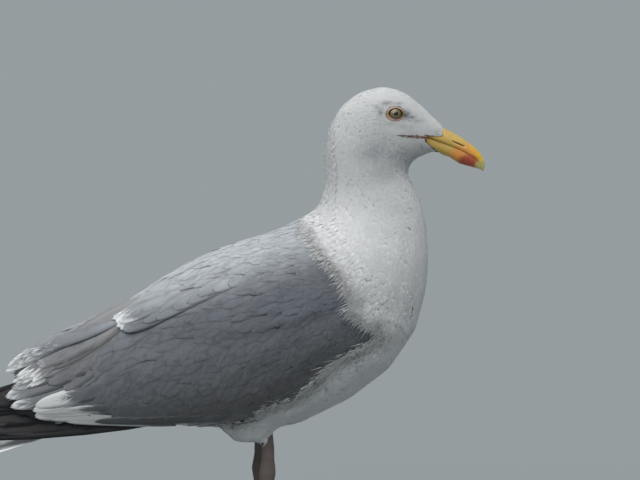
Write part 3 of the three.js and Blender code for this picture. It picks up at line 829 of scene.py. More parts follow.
def rowed(vane, row, side, rng, field):
    """A row's feathers on one wing, laid over its side; the field says how far out that is."""
    stops = np.linspace(0, 1, len(row.tips))
    share = np.linspace(0, 1, row.count)
    tip_x = np.interp(share, stops, [tip[0] for tip in row.tips]) + rng.normal(0, row.stray, row.count)
    tip_z = np.interp(share, stops, [tip[1] for tip in row.tips]) + rng.normal(0, row.stray * 0.6, row.count)
    slope = np.radians(row.spread(row.slopes) + rng.normal(0, 1.8, row.count))[:, None]
    length = row.spread(row.lengths)[:, None]
    width = row.spread(row.half_widths)[:, None] * rng.normal(1, 0.1, (row.count, 1))
    back = (1 - vane.along[None]) * length
    back = back - vane.frayed(rng, row.count, row.ragged, 0.85) * length
    across = vane.across[None] * width + row.bend * back * (1 - back / length)
    x = tip_x[:, None] + np.cos(slope) * back - np.sin(slope) * across
    z = tip_z[:, None] + np.sin(slope) * back + np.cos(slope) * across
    lift = row.root_lift + (row.spread(row.tip_lifts)[:, None] - row.root_lift) * vane.along[None] ** 0.7
    stack = np.arange(row.count)[:, None] * 0.02
    camber = vane.rise[None] * 0.22
    out = field.at(x, z) + lift + stack + camber
    points = to_row(np.stack([x, side * out, z], 2))
    ahead, up = field_slopes(field, x, z, 1.0)
    guides = unit(np.stack([-ahead, np.full_like(x, side), -up - row.tilt], 2))
    if row.hug:
        on, facing = plumage_hull().settle(points)
        share = smooth_step(x, *HUG_REACH)[..., None]
        facing = unit(facing.mean(1, keepdims=True) + np.array([0, side * 0.25, 0.1]))
        hugged = on + facing * ((np.minimum(lift, HUG_LIFT) + stack + camber) * MM)[..., None]
        points = points * (1 - share) + hugged * share
        guides = unit(guides * (1 - share) + facing * share)
    return points, guides


BAKE_CELL = 0.003


def patches(hull, vane, run, turn):
    """Each feather's small patch on an unwrap of the skin: along the lie, and round it."""
    roots = np.stack([run / hull.run[-1], turn / math.tau + 0.5], 1) * (1 - 2 * BAKE_CELL) + BAKE_CELL / 2
    return roots[:, None] + vane.map[None] * BAKE_CELL


def cells(vane, count):
    """Each large feather's own cell on a square grid."""
    columns = math.ceil(math.sqrt(count))
    number = np.arange(count)
    corner = np.stack([number % columns, number // columns], 1) / columns
    inside = vane.map * 0.9 + 0.05
    return corner[:, None] + inside[None] / columns


def plumage_marks(count, **given):
    """What the plumage's paint reads of each feather: none of it, but for what is given."""
    return {**dict.fromkeys(("grey", "tip", "brown", "smudge", "tone"), np.zeros(count)), **given}


# Dusky marks round the eye, and painted shade under the cheek and on the throat (the last three rows): x, z,
# half length, half height, strength.
FACE_SMUDGES_AND_SHADE = (
    (126.0, 381.2, 4.3, 3.8, 1.2),
    (130.5, 378.4, 4.4, 2.1, 0.8),
    (137.0, 375.2, 4.5, 1.5, 0.42),
    (103.8, 384.5, 2.6, 4.2, 0.60),
    (101.0, 389.0, 2.6, 2.6, 0.42),
    (109.5, 392.2, 5.0, 1.8, 0.60),
    (119.5, 391.2, 4.5, 1.4, 0.45),
    (112.0, 374.5, 8.0, 1.6, 0.22),
    (124.5, 371.0, 5.0, 3.0, 0.20),
    (140.0, 352.0, 2.0, 3.4, 0.42),
    (134.5, 348.8, 5.0, 1.5, 0.28),
    (153.0, 365.5, 3.0, 2.0, 0.26),
    (147.0, 366.0, 4.0, 1.6, 0.16),
    (98.0, 353.0, 16.0, 10.0, 0.42),
    (120.0, 346.0, 21.0, 9.0, 0.36),
    (105.0, 336.0, 18.0, 9.0, 0.28),
)


def dusk_and_shade(points):
    """How dusky the face is at each place, with its marks round the eye and painted shade under the cheek and
    on the throat.
    """
    bird = to_bird(points)
    most = np.zeros(len(bird))
    for x, z, half_length, half_height, strength in FACE_SMUDGES_AND_SHADE:
        far = ((bird[:, 0] - x) / half_length) ** 2 + ((bird[:, 2] - z) / half_height) ** 2
        most = np.maximum(most, strength * np.exp(-far))
    return most


def coat_depth(run, grey, sizes):
    """How deep the feathers are at each place along the lie."""
    stops = (0, 30, 60, 100, 150, 210)
    face, head, neck, body = sizes.face_coat, sizes.head_coat, sizes.neck_coat, sizes.body_coat
    white = np.interp(run, stops, (face, face * 1.3, head, (head + neck) / 2, neck, body))
    return np.where(grey, sizes.wing_coat * np.interp(run, (190, 330), (0.6, 1)), white)


def near_eye(bird, ahead, half_length, half_height):
    """Whether places lie in an ellipse round the eye, or a little ahead of it."""
    x = (bird[:, 0] - EYE_AHEAD - ahead) / half_length
    z = (bird[:, 2] - EYE_HEIGHT) / half_height
    return x * x + z * z < 1


def gape_height(x):
    """How high the line of the mouth runs behind the bill."""
    return 363.6 - 0.085 * (x - 116.4)


def near_gape(bird, reach):
    """Whether places lie within reach of the line of the mouth, behind the bill."""
    x, z = bird[:, 0], bird[:, 2]
    return (np.abs(z - gape_height(x)) < reach) & (x > 118) & (x < 142.5)


def bill_reach(bird):
    """How far ahead of the feathers each place is; they reach forward above the gape and on the chin."""
    x, z = bird[..., 0], bird[..., 2]
    gape = 363.9 - 0.15 * (x - 141)
    side = np.minimum((gape - z) * 2.0, x - 141.3 - 1.3 * np.maximum(357.5 - z, 0))
    return np.maximum(side, x - 157.5)


def on_bill(bird):
    """Whether places lie on the bare bill."""
    return bill_reach(bird) > 0


# Where the white of neck and flank meets the grey: heights, and how far forward the grey reaches there.
EDGE_HEIGHTS = (107, 112, 121, 131, 134, 141, 154, 168, 180, 194, 206, 219, 228, 238, 252, 266, 280, 292)
EDGE_AHEAD = (-34, -18, 0, 11, 27, 39, 53, 61, 79, 105, 99, 75, 84, 74, 69, 54, 45, 36)


def in_front(bird, margin):
    """Whether places lie ahead of the white's edge by more than the margin."""
    return bird[..., 0] > np.interp(bird[..., 2], EDGE_HEIGHTS, EDGE_AHEAD) + margin


def is_grey(hull, labels, points, margin=None):
    """Whether places carry grey feathers: on the wings and the back, behind the edge of the white."""
    bird = to_bird(points)
    if margin is None:
        margin = np.interp(bird[..., 2], (150, 190), (4, 8))
    beside = (np.abs(bird[..., 1]) > 28) & (bird[..., 2] > 166) & (bird[..., 2] < 284) & (bird[..., 0] > 30)
    winged = np.isin(labels, [hull.names.index(name) for name in GREY_NODES])
    winged |= (bird[..., 0] < -60) & (bird[..., 2] > 160)
    return (winged & ~in_front(bird, margin)) | (beside & ~in_front(bird, margin - 2))


def is_bare(hull, labels):
    """Whether the hull's corners lie on eyes or shins, or on the bill ahead of its feathers."""
    bill, others = (
        np.isin(labels, [hull.names.index(name) for name in BARE_NODES if name.startswith("bill") == wanted])
        for wanted in (True, False)
    )
    return others | (bill & on_bill(to_bird(hull.points)))


def plumage_paint(name, colours):
    """White and grey plumage, marked by the numbers that each vertex carries."""
    paint = Paint(name, Roughness=0.8, Specular_IOR_Level=0.25, Sheen_Weight=0.12, Sheen_Roughness=0.6,
                  Subsurface_Weight=0.4, Subsurface_Scale=0.002, Subsurface_Radius=(1, 1, 1))
    place = paint.place()
    across, along = paint.vane()
    x, _, z = paint.axes()
    broad = paint.noise(place, 28.0, 3.0)
    fine = paint.noise(place, 420.0, 3.0, 0.6)
    # Painted light: the grey is painted darker low on the wing, as painted shade, and paler on top of the
    # back, as a painted highlight, graded by height across the back's slant.
    shading_height = z - x * 0.30 + broad * 16 - 8
    grey = paint.mix(paint.ramp(shading_height, 138.0, 204.0), colours.shaded_grey, colours.grey)
    grey = paint.mix(paint.ramp(shading_height, 223.0, 272.0), grey, colours.lit_grey)
    # Painted shade: a bluish shaded patch on the shoulder, above the painted shadow line.
    shoulder_shade = paint.spot(x, z, (36.0, 214.0), (34.0, 18.0), 0.8)
    grey = paint.mix(shoulder_shade * 0.6, grey, (0.150, 0.170, 0.205))
    # Painted shadow: a soft dark line below the edge of the scapulars, where they overlap the coverts.
    line = paint.spot(x, z - x * 0.27 + broad * 8, (24.0, 198.0), (34.0, 4.5), 0.9)
    grey = paint.mix(line * 0.5, grey, colours.shaded_grey)
    worn = paint.attribute("brown")
    grey = paint.mix(worn, grey, colours.brown)
    shade = paint.mix(paint.attribute("grey"), colours.white, grey)
    middle = paint.math("ABSOLUTE", across - 0.5)
    tip = paint.attribute("tip")
    streak = paint.noise(paint.join(along * 9.0 - middle * 5.0, tip * 3.0, broad * 5.0), 2.6, 3.0, 0.65)
    edging = middle * paint.math("MINIMUM", tip, 1.0) * 0.3
    reach = along + (streak - 0.5) * 0.3 + edging + tip * 0.25
    shade = paint.mix(paint.ramp(reach, 1.06, 1.24) * 0.9, shade, colours.white)
    # Dusky marks round the eye, and painted shade under the cheek and on the throat.
    shade = paint.mix(paint.attribute("smudge"), shade, colours.smudge)
    barbs = paint.math("SINE", (along * 26.0 + middle * -14.0) * math.tau)
    shaft = paint.ramp(middle, 0.05, 0.0)
    level = 1 + paint.attribute("tone") * 0.10 + (broad - 0.5) * 0.10 + (fine - 0.5) * 0.10
    level = level + barbs * 0.012 - shaft * paint.attribute("grey") * 0.07
    level = level + (streak - 0.5) * paint.attribute("grey") * 0.22
    return paint.finish(paint.scale(shade, level), 0.72 + fine * 0.2, barbs * 0.5 + fine, 0.00012, 0.35)


class BuildSkin(bpy.types.Operator):
    """One skin over head, body, wings and legs, with lids and the corners of the mouth"""

    bl_idname = "gull.skin"
    bl_label = "Skin"
    UNDER_COAT = 0.35 * MM
    BARE_DEPTH = 1.3 * MM
    SOCKET_DEPTH = 3.4 * MM
    WING_END_DEPTH = 6 * MM
    BILL_NARROWING = 0.42
    GAPE_REACH = 0.8
    SPOKES = 56
    # The rings of the lids, from the outer one in: half length, half height, how far out, and squareness.
    LID_RINGS = (
        (9.9, 7.8, -1.8, 2.0), (8.9, 6.9, -0.6, 2.0), (8.2, 6.35, -0.1, 2.0), (7.75, 6.0, 0.15, 1.95),
        (7.35, 5.7, 0.42, 1.9), (7.0, 5.4, 0.66, 1.85), (6.65, 5.15, 0.7, 1.85),
        (6.35, 4.9, 0.42, 1.85), (6.25, 4.8, -1.3, 1.85),
    )
    LID_EDGE = 6.8
    # The section of the mouth's corner, from its lower edge up: how high and how far out.
    GAPE_SECTION = (
        (-1.5, -1.3), (-1.05, 0.0), (-0.7, 0.25), (-0.3, 0.2), (0.0, -0.3), (0.3, -0.3),
        (0.55, 0.15), (0.85, 0.2), (1.1, 0.0), (1.6, -1.3),
    )
    GROOVE = -0.3
    GAPE_STEPS = 30
    GAPE_BACK = 116.4
    GAPE_FRONT = 143.0

    def execute(self, context):
        sizes = context.scene.gull_sizes
        hull = plumage_hull()
        run, _, _ = hull.flow(hull.points, hull.normals)
        grey = is_grey(hull, hull.labels, hull.points)
        bird = to_bird(hull.points)
        x, z = bird[:, 0], bird[:, 2]
        depth = coat_depth(run, grey, sizes) + self.UNDER_COAT
        depth = np.where(is_bare(hull, hull.labels), self.BARE_DEPTH, depth)
        depth = np.where(near_eye(bird, 0, 8.6, 7.0) & (z > 350), self.SOCKET_DEPTH, depth)
        depth = np.where(grey & (x < -192), self.WING_END_DEPTH, depth)
        depth = np.minimum(depth, hull.thickness() * 0.38)
        sunk = hull.points - hull.normals * depth[:, None]
        sunk[:, 1] *= np.where(on_bill(bird) & (z > 330), self.BILL_NARROWING, 1)
        mesh = hull.mesh.copy()
        mesh.vertices.foreach_set("co", sunk.reshape(-1))
        mark(mesh, "grey", is_grey(hull, hull.labels, hull.points, 1))
        mark(mesh, "smudge", dusk_and_shade(hull.points))
        under_wing = (x < -196) & (z < 141) | (x < -120) & (z < 110)
        mark(mesh, "black", grey & under_wing)
        mark(mesh, "gape", near_gape(bird, self.GAPE_REACH) * 0.6)
        bm = bmesh.new()
        bm.from_mesh(mesh)
        smoothed(bm, 2)
        self.add_legs(bm, sizes)
        for side in SIDES.values():
            self.add_lids(bm, side)
            self.add_gape(bm, hull, side)
        bm.to_mesh(mesh)
        bm.free()
        material = self.paint(context.scene.gull_colours)
        piece("skin", mesh, material, WHITE_NODES + GREY_NODES + LEG_NODES)
        return {"FINISHED"}

    def add_legs(self, bm, sizes):
        """Scaled skin of shins, tarsi and webbed feet."""
        legs = remeshed(merged_copy(LEG_NODES), sizes.leg_voxel, 3)
        legs.normal_update()
        for vert in legs.verts:
            x, _, z = to_bird(vert.co)
            front = max(0.0, vert.normal.x)
            if z > 14:
                vert.co += vert.normal * (0.28 * MM * front * self.scale_groove(z, 2.6))
            elif vert.normal.z > 0.2:
                vert.co += vert.normal * (0.2 * MM * self.scale_groove(x, 2.3))
        scratch = mesh_of(legs, "legs")
        mark(scratch, "leg", np.ones(len(scratch.vertices)))
        bm.from_mesh(scratch)
        bpy.data.meshes.remove(scratch)

    @staticmethod
    def scale_groove(place, pitch):
        """0 on a scale of the leg, down to -1 in the groove between two."""
        return min(abs((place / pitch) % 1 - 0.5) * 2 * 2.2, 1) - 1

    def add_lids(self, bm, side):
        """A ring of bare skin that rises to the lids and turns in to the eyeball."""
        centre, ahead, up, out = eye_axes(side)
        lid, corner, edge = (number_layer(bm, name) for name in ("lid", "corner", "lid_edge"))
        made = []
        for half_length, half_height, rise, power in self.LID_RINGS:
            circle = bmesh.ops.create_circle(bm, segments=self.SPOKES, radius=1)["verts"]
            for number, vert in enumerate(circle):
                angle = math.tau * number / self.SPOKES
                cosine, sine = math.cos(angle), math.sin(angle)
                reach = abs(cosine / half_length) ** power + abs(sine / half_height) ** power
                reach = reach ** (-1 / power)
                crinkle = 0.07 * math.sin(number * 2.6) + 0.05 * math.sin(number * 4.1 + half_length)
                height = rise + (crinkle if rise > 0 else 0)
                spot = ahead * (cosine * reach) + up * (sine * reach) + out * height
                vert.co = centre + spot * MM
                vert[lid] = 1.0
                vert[corner] = abs(cosine) ** 6
                # The inner rings carry painted shade where the lid turns in to the eyeball.
                vert[edge] = 1.0 if half_length < self.LID_EDGE else 0.0
            made.append(circle)
        for outer, inner in zip(made, made[1:]):
            for number in range(self.SPOKES):
                after = (number + 1) % self.SPOKES
                quad = [outer[number], outer[after], inner[after], inner[number]]
                bm.faces.new(quad if side < 0 else quad[::-1])

    def add_gape(self, bm, hull, side):
        """The fleshy line of the mouth behind the bill, with a groove along it."""
        gape, groove = (number_layer(bm, name) for name in ("gape", "groove"))
        made = []
        for step in range(self.GAPE_STEPS + 1):
            share = step / self.GAPE_STEPS
            x = self.GAPE_BACK + (self.GAPE_FRONT - self.GAPE_BACK) * share
            z = gape_height(x) - 0.4 * math.sin(share * math.pi) + 0.12 * math.sin(step * 1.1)
            uneven = 1 + 0.1 * math.sin(step * 1.9) + 0.08 * math.sin(step * 0.8)
            size = (0.22 + 0.7 * min(1.0, share * 1.5)) * uneven
            beside = Vector(to_row((x, side * 40, z)))
            hit, normal, _, _ = hull.tree.ray_cast(beside, Vector((0, -side, 0)))
            across = square_to(Vector((0, 0, 1)), normal)
            row = []
            for offset, rise in self.GAPE_SECTION:
                vert = bm.verts.new(hit + across * (offset * size * MM) + normal * (rise * size * MM))
                vert[gape] = 1.0
                # Painted shade: full along the groove, and fading forward from the mouth's rear corner.
                vert[groove] = 1.0 if rise == self.GROOVE else 0.75 * (1 - share)
                row.append(vert)
            made.append(row)
        for near, far in zip(made, made[1:]):
            for low in range(len(self.GAPE_SECTION) - 1):
                quad = [near[low], far[low], far[low + 1], near[low + 1]]
                bm.faces.new(quad if side < 0 else quad[::-1])

    def paint(self, colours):
        paint = Paint("gull_skin", Roughness=0.6, Specular_IOR_Level=0.35)
        place = paint.place()
        broad = paint.noise(place, 120.0, 3.0)
        fine = paint.noise(place, 900.0, 2.0)
        inputs = {"Vector": place, "Scale": 620.0}
        cracks = paint.node("ShaderNodeTexVoronoi", {"feature": "DISTANCE_TO_EDGE"}, inputs)
        crack = paint.ramp(cracks, 0.0, 0.09)
        down = paint.mix(paint.attribute("grey"), colours.white, colours.grey)
        # Dusky marks round the eye, and painted shade under the cheek and on the throat.
        down = paint.mix(paint.attribute("smudge"), down, colours.smudge)
        down = paint.mix(paint.attribute("black"), down, colours.black)
        down = paint.scale(down, 0.9 + broad * 0.1)
        leg = paint.scale(colours.leg, 0.62 + broad * 0.5 + crack * 0.16)
        lid = paint.mix(paint.attribute("corner"), colours.lid, colours.lid_corner)
        lid = paint.scale(lid, 0.75 + broad * 0.5)
        # Painted shade: the lid's inner rings, where it turns in to the eyeball, are painted dark brown.
        lid = paint.mix(paint.attribute("lid_edge") * 0.85, lid, (0.07, 0.04, 0.025))
        # Painted shade in the mouth's groove and at its rear corner, near black.
        gape = paint.mix(paint.attribute("groove"), colours.gape, (0.035, 0.02, 0.02))
        gape = paint.scale(gape, 0.7 + broad * 0.5)
        colour = paint.mix(paint.attribute("leg"), down, leg)
        colour = paint.mix(paint.attribute("lid"), colour, lid)
        colour = paint.mix(paint.attribute("gape"), colour, gape)
        bare = paint.attribute("leg") + paint.attribute("lid") + paint.attribute("gape")
        height = (crack * 0.6 + fine * 0.4) * bare
        return paint.finish(colour, 0.85 - bare * 0.35, height, 0.00025, 0.5)


# The eyeball looks a little forward and up: its axis leans from straight out by these shares.
EYE_LEAN_AHEAD = 0.20
EYE_LEAN_UP = 0.24
# How far out the eye's opening lies, and how far the eyeball stands out of it, in millimetres.
EYE_PLANE_OUT = 20.0
EYE_BULGE = 1.7


def eye_axes(side):
    """The middle of the eye's opening, and the ways ahead, up and out there."""
    out = Vector((EYE_LEAN_AHEAD, side, EYE_LEAN_UP)).normalized()
    ahead = square_to(Vector((1, 0, 0)), out)
    up = Vector((0, 0, 1))
    up = (up - out * up.dot(out) - ahead * up.dot(ahead)).normalized()
    centre = Vector(to_row((EYE_AHEAD, side * EYE_PLANE_OUT, EYE_HEIGHT)))
    return centre, ahead, up, out


def along_slopes(slopes, normals):
    """The ways back and down at the given slopes, laid into the surface."""
    ways = np.stack([-np.cos(slopes), np.zeros(len(slopes)), -np.sin(slopes)], 1)
    return flattened(ways, normals)


def hidden_by_wing(bird):
    """Whether places lie under the folded wings, where no white feather shows."""
    x, z = bird[:, 0], bird[:, 2]
    beside = np.abs(bird[:, 1]) > 24
    return beside & (((x < -30) & (z > 112)) | ((x < -110) & (z > 98)))


class CoatOperator:
    """What the coat's operators share."""

    # Millimetres: the least room between feathers, and the height below which there is no face.
    LEAST_SPACING = 0.56
    THROAT = 335

    def starts(self, hull, rng, allowed, size, lie):
        """Where feathers start: not on eye, mouth or bill, and no white ones under the wings."""

        def spacing(points):
            run, _, _ = hull.flow(points, np.zeros_like(points))
            return np.maximum(size(to_bird(points), run) * lie.spacing, self.LEAST_SPACING) * MM

        roots = scatter(hull, rng, allowed, spacing)
        bird = to_bird(roots)
        keep = ~near_eye(bird, 0.8, 9.1, 6.9) & ~near_gape(bird, 1.1) & ~on_bill(bird)
        keep |= bird[:, 2] < self.THROAT
        keep &= ~hidden_by_wing(bird) | is_grey(hull, hull.label(roots), roots)
        return roots[keep]

    def lay(self, context, name, vane, allowed, size, seed, lie, angle=None, split=True):
        """One piece, or one for each side, of small feathers where allowed is true."""
        sizes = context.scene.gull_sizes
        hull = plumage_hull()
        rng = np.random.default_rng(seed)
        roots = self.starts(hull, rng, allowed, size, lie)
        _, normals = hull.settle(roots)
        run, turn, ahead = hull.flow(roots, normals)
        grey = is_grey(hull, hull.label(roots), roots)
        bird = to_bird(roots)
        x, z = bird[:, 0], bird[:, 2]
        if angle is not None:
            ahead = along_slopes(angle(bird), normals)
        lengths = size(bird, run) * rng.normal(1, 0.12, len(roots)) * MM
        widths = lengths * lie.width * 0.5 * rng.normal(1, 0.1, len(roots))
        widths *= np.where(grey, np.interp(z, (108, 126), (0.3, 1)), 1)
        depths = coat_depth(run, grey, sizes)
        beside = grey & (x < 0) & (np.abs(bird[:, 1]) > 26) & (np.abs(normals[:, 1]) > 0.5)
        beside &= z < 262 + x * 0.42
        at_edge = ~grey & in_front(bird, 4) & ~in_front(bird, 26) & (z > 108)
        over = np.where(at_edge, np.interp(z, (150, 190), (0.25, 0.7)) * MM, 0)
        plume = laid(hull, vane, roots, ahead, lengths, widths, depths, rng, lie, over, beside)
        speckle = rng.random(len(roots))
        standing = (plume.guides * normals[:, None]).sum(2).min(1) < 0.3
        kept = ~(standing & grey)
        marks = plumage_marks(
            len(roots),
            grey=grey.astype(float),
            tone=rng.normal(0, 1, len(roots)) * np.where(grey, 0.3, 0.1),
            smudge=dusk_and_shade(roots) * (0.75 + 0.35 * (speckle < 0.5)),
        )
        bake = patches(hull, vane, run, turn)
        halves = {"": kept}
        if split:
            halves = {"_left": kept & (roots[:, 1] >= 0), "_right": kept & (roots[:, 1] < 0)}
        for suffix, half in halves.items():
            part = Plume(vane, plume.points[half], plume.guides[half], plume.stiffness)
            mesh = part.mesh(name + suffix, {key: values[half] for key, values in marks.items()}, bake[half])
            piece(name + suffix, mesh, context.scene.gull_plumage)
        return {"FINISHED"}

    def lay_white(self, context, name, vane, reach, seed, lie):
        """White feathers between two places along the lie."""
        hull = plumage_hull()
        run, _, _ = hull.flow(hull.points, hull.normals)
        allowed = ~is_grey(hull, hull.labels, hull.points) & ~is_bare(hull, hull.labels)
        allowed &= (run >= reach[0]) & (run < reach[1])
        return self.lay(context, name, vane, allowed, white_length, seed, lie)

    def lay_grey(self, context, name, allowed, size, seed, split=True):
        """Grey feathers, with the slopes of the folded wing."""
        vane, slot = covert_vane(), "grey_plumage"
        return self.lay(context, name, vane, allowed, size, seed, GREY_LIE, wing_slope, split)


HEAD_LIE = Lie(spacing=0.21, width=0.48, loose=0.015, bury=3.6, thickness=0.03, stiffness=0.04)
BODY_LIE = Lie(spacing=0.17, width=0.46, loose=0.01, sway=0.1, bury=3.6, thickness=0.03, stiffness=0.03)
GREY_LIE = Lie(spacing=0.165, width=0.34, sway=0.07, ragged=0.03, loose=0.0, thickness=0.02, stiffness=0.03)
FRINGE_LIE = Lie(loose=0.08, bury=2.4, sway=0.1, thickness=0.1, stiffness=0.05)

FEATHER_RUNS = (0, 20, 45, 70, 100, 140, 190, 260)
FEATHER_LENGTHS = (2.3, 2.9, 4.2, 5.8, 8.0, 10.0, 12.5, 15.0)


def white_length(bird, run):
    """Length of a body feather along the lie, shorter beside the eye and on the thighs."""
    length = np.interp(run, FEATHER_RUNS, FEATHER_LENGTHS)
    beside = np.hypot(bird[:, 0] - EYE_AHEAD, bird[:, 2] - EYE_HEIGHT)
    length = np.minimum(length, 2.4 + 0.12 * np.maximum(beside - 8, 0))
    return np.where(bird[:, 2] < 98, np.minimum(length, 9.0), length)


class BuildHeadCoat(CoatOperator, bpy.types.Operator):
    """Small white feathers of face, crown and nape"""

    bl_idname = "gull.head_coat"
    bl_label = "Head feathers"

    def execute(self, context):
        return self.lay_white(context, "coat_head", blade_vane(), (0, 78), 11, HEAD_LIE)


class BuildNeckCoat(CoatOperator, bpy.types.Operator):
    """Soft white feathers of the neck and breast"""

    bl_idname = "gull.neck_coat"
    bl_label = "Neck feathers"

    def execute(self, context):
        return self.lay_white(context, "coat_neck", tuft_vane(), (74, 176), 12, BODY_LIE)


class BuildBodyCoat(CoatOperator, bpy.types.Operator):
    """White feathers of breast, belly, thighs and vent"""

    bl_idname = "gull.body_coat"
    bl_label = "Body feathers"

    def execute(self, context):
        return self.lay_white(context, "coat_body", tuft_vane(), (170, math.inf), 13, BODY_LIE)


def depth_below_back(bird):
    """How far a place lies below the line of the back, seen from the side."""
    return 274 - 0.365 * (57 - bird[:, 0]) - bird[:, 2]


def wing_slope(bird):
    """The angle of the wing's feathers below the horizon, in radians."""
    below = depth_below_back(bird)
    slope = 24 + 22 * smooth_step(below, 10, 80)
    rear = smooth_step(-bird[:, 0], 60, 130) * smooth_step(below, 6, 30)
    slope = slope * (1 - rear) + 50 * rear
    low = 1 - smooth_step(bird[:, 2], 112, 152)
    slope = slope * (1 - low) + 2 * low
    return np.radians(slope)


def on_rump(hull, bird):
    """Whether the hull's corners lie on top of the folded wings' rear, between the long feathers of both."""
    return (hull.normals[:, 2] > 0.3) & (np.abs(bird[:, 1]) < 27) & (bird[:, 0] > -204)


def covert_length(bird, _run):
    """How long the wing's small feathers are, in millimetres."""
    return np.interp(bird[:, 0], (-204, -180, -90, -20, 45, 80), (26, 38, 40, 31, 21, 13))


def mantle_length(bird, _run):
    """How long the back's feathers are, in millimetres."""
    return np.interp(bird[:, 0], (-100, -60, 0, 45, 70), (44, 40, 32, 20, 12))


class BuildMantle(CoatOperator, bpy.types.Operator):
    """Pale grey feathers of the back, with the scapulars"""

    bl_idname = "gull.mantle"
    bl_label = "Back feathers"

    def execute(self, context):
        hull = plumage_hull()
        allowed = (hull.labels == hull.names.index("mantle")) & is_grey(hull, hull.labels, hull.points)
        bird = to_bird(hull.points)
        middle = (bird[:, 0] > -116) & (np.abs(bird[:, 1]) < 34)
        allowed &= (bird[:, 0] > -96) | middle | on_rump(hull, bird)
        return self.lay_grey(context, "coat_mantle", allowed, mantle_length, 21, split=False)


class BuildCoverts(CoatOperator, bpy.types.Operator):
    """Grey coverts of the folded wings"""

    bl_idname = "gull.coverts"
    bl_label = "Wing coverts"

    def execute(self, context):
        hull = plumage_hull()
        allowed = is_grey(hull, hull.labels, hull.points) & (hull.labels != hull.names.index("mantle"))
        bird = to_bird(hull.points)
        outer = hull.normals[:, 1] * np.sign(bird[:, 1]) > -0.05
        rear = (bird[:, 0] > -128) | ((bird[:, 0] > -168) & (bird[:, 2] > 132))
        allowed &= (hull.labels != hull.names.index("trunk")) | (bird[:, 0] > -60)
        allowed &= (rear & (outer | (bird[:, 0] > 0))) | on_rump(hull, bird)
        return self.lay_grey(context, "coat_wing", allowed, covert_length, 22)


# The rows of one folded wing, from the lowest layer to the top one. A row's negative tone paints its feathers
# darker, as painted shade.
WING_ROWS = (
    Row(12, ((-46, 117), (-80, 115), (-112, 114), (-150, 113)), (36, 70), (6, 2), (3.4, 3.6),
        -1.0, (0.1, 0.3), tilt=0.9, stray=0.8, tone=-0.6),
    Row(5, ((-150, 111), (-182, 112), (-198, 115), (-200, 119.5)), (96, 100), (0.5, 6), (2.8, 3.4),
        -1.0, (0.3, 0.8), (3.6, 2.0), tilt=0.3, stray=0.8, tone=-2.8),
    Row(3, ((-201, 117), (-204, 121), (-200, 127)), (84, 90), (9, 15), (7.0, 7.5),
        -1.2, (0.8, 1.1), (2.0, 1.7), tone=-1.7),
    Row(3, ((-222, 125), (-227, 132), (-224, 140)), (112, 116), (15, 22), (8.0, 9.0),
        -1.4, (0.6, 0.9), (0.8, 0.7), (0.3, 0.4)),
    Row(12, ((-206, 140), (-220, 146), (-219, 151), (-204, 150)), (66, 76), (28, 34), (2.4, 3.6),
        -1.4, (0.9, 1.4), (1.2, 0.9), (0.2, 0.4), stray=3.5, ragged=0.03),
    Row(6, ((-162, 134), (-180, 141), (-196, 151)), (84, 96), (45, 33), (8.5, 10.5),
        -1.6, (0.2, 1.0), (0.2, 0.3), (0.3, 0.5), tone=-0.3),
    Row(2, ((-197, 157), (-200, 163)), (108, 104), (31, 29), (11.5, 11),
        -1.4, (1.1, 1.4), (0.3, 0.5), (0.75, 0.5)),
    Row(7, ((-229, 156), (-223, 160), (-207, 168), (-189, 178)), (112, 84), (27, 24), (6.0, 7.0),
        -1.0, (1.7, 1.9), (1.0, 0.5), (0.2, 0.0), hug=True),
)
SCAPULAR_ROWS = (
    Row(10, ((-34, 235), (-62, 222), (-84, 211), (-106, 201), (-122, 195)), (48, 66), (27, 26), (5.5, 6.0),
        -1.8, (0.1, 3.0), (0, 0.35)),
    Row(4, ((-124, 194.5), (-128, 196), (-130, 199)), (70, 66), (26, 25), (6.0, 6.0),
        -1.8, (3.0, 3.2), (0.7, 0.9)),
    Row(8, ((-128, 199), (-133, 203), (-131, 206)), (66, 62), (25, 23), (4.5, 5.5),
        -1.8, (2.8, 1.4), (1.0, 0.9), stray=1.6, ragged=0.012, hug=True),
)


class BuildFlightFeathers(bpy.types.Operator):
    """Rows of greater coverts, secondaries, long inner feathers and scapulars on each wing"""

    bl_idname = "gull.flight_feathers"
    bl_label = "Rows of wing feathers"

    def execute(self, context):
        for name, rows, seed in (("wing_rows", WING_ROWS, 31), ("scapulars", SCAPULAR_ROWS, 33)):
            for label, side in SIDES.items():
                self.build(context, f"{name}_{label}", rows, side, np.random.default_rng(seed + side))
        return {"FINISHED"}

    def build(self, context, name, rows, side, rng):
        """The rows of one wing as one piece."""
        vane = flight_vane()
        gathered = []
        for row in rows:
            points, guides = rowed(vane, row, side, rng, side_field())
            # A row's tone paints its feathers darker, as painted shade.
            tone = rng.normal(row.tone, 0.5, row.count)
            gathered.append((points, guides, row.spread(row.white), row.spread(row.worn), tone))
        points, guides, white, worn, tone = (np.concatenate(values) for values in zip(*gathered))
        plume = Plume(vane.mirrored() if side > 0 else vane, points, guides, 0.5)
        marks = plumage_marks(plume.count, grey=np.ones(plume.count), tip=white, brown=worn, tone=tone)
        mesh = plume.mesh(name, marks, cells(vane, plume.count))
        piece(name, mesh, context.scene.gull_plumage)


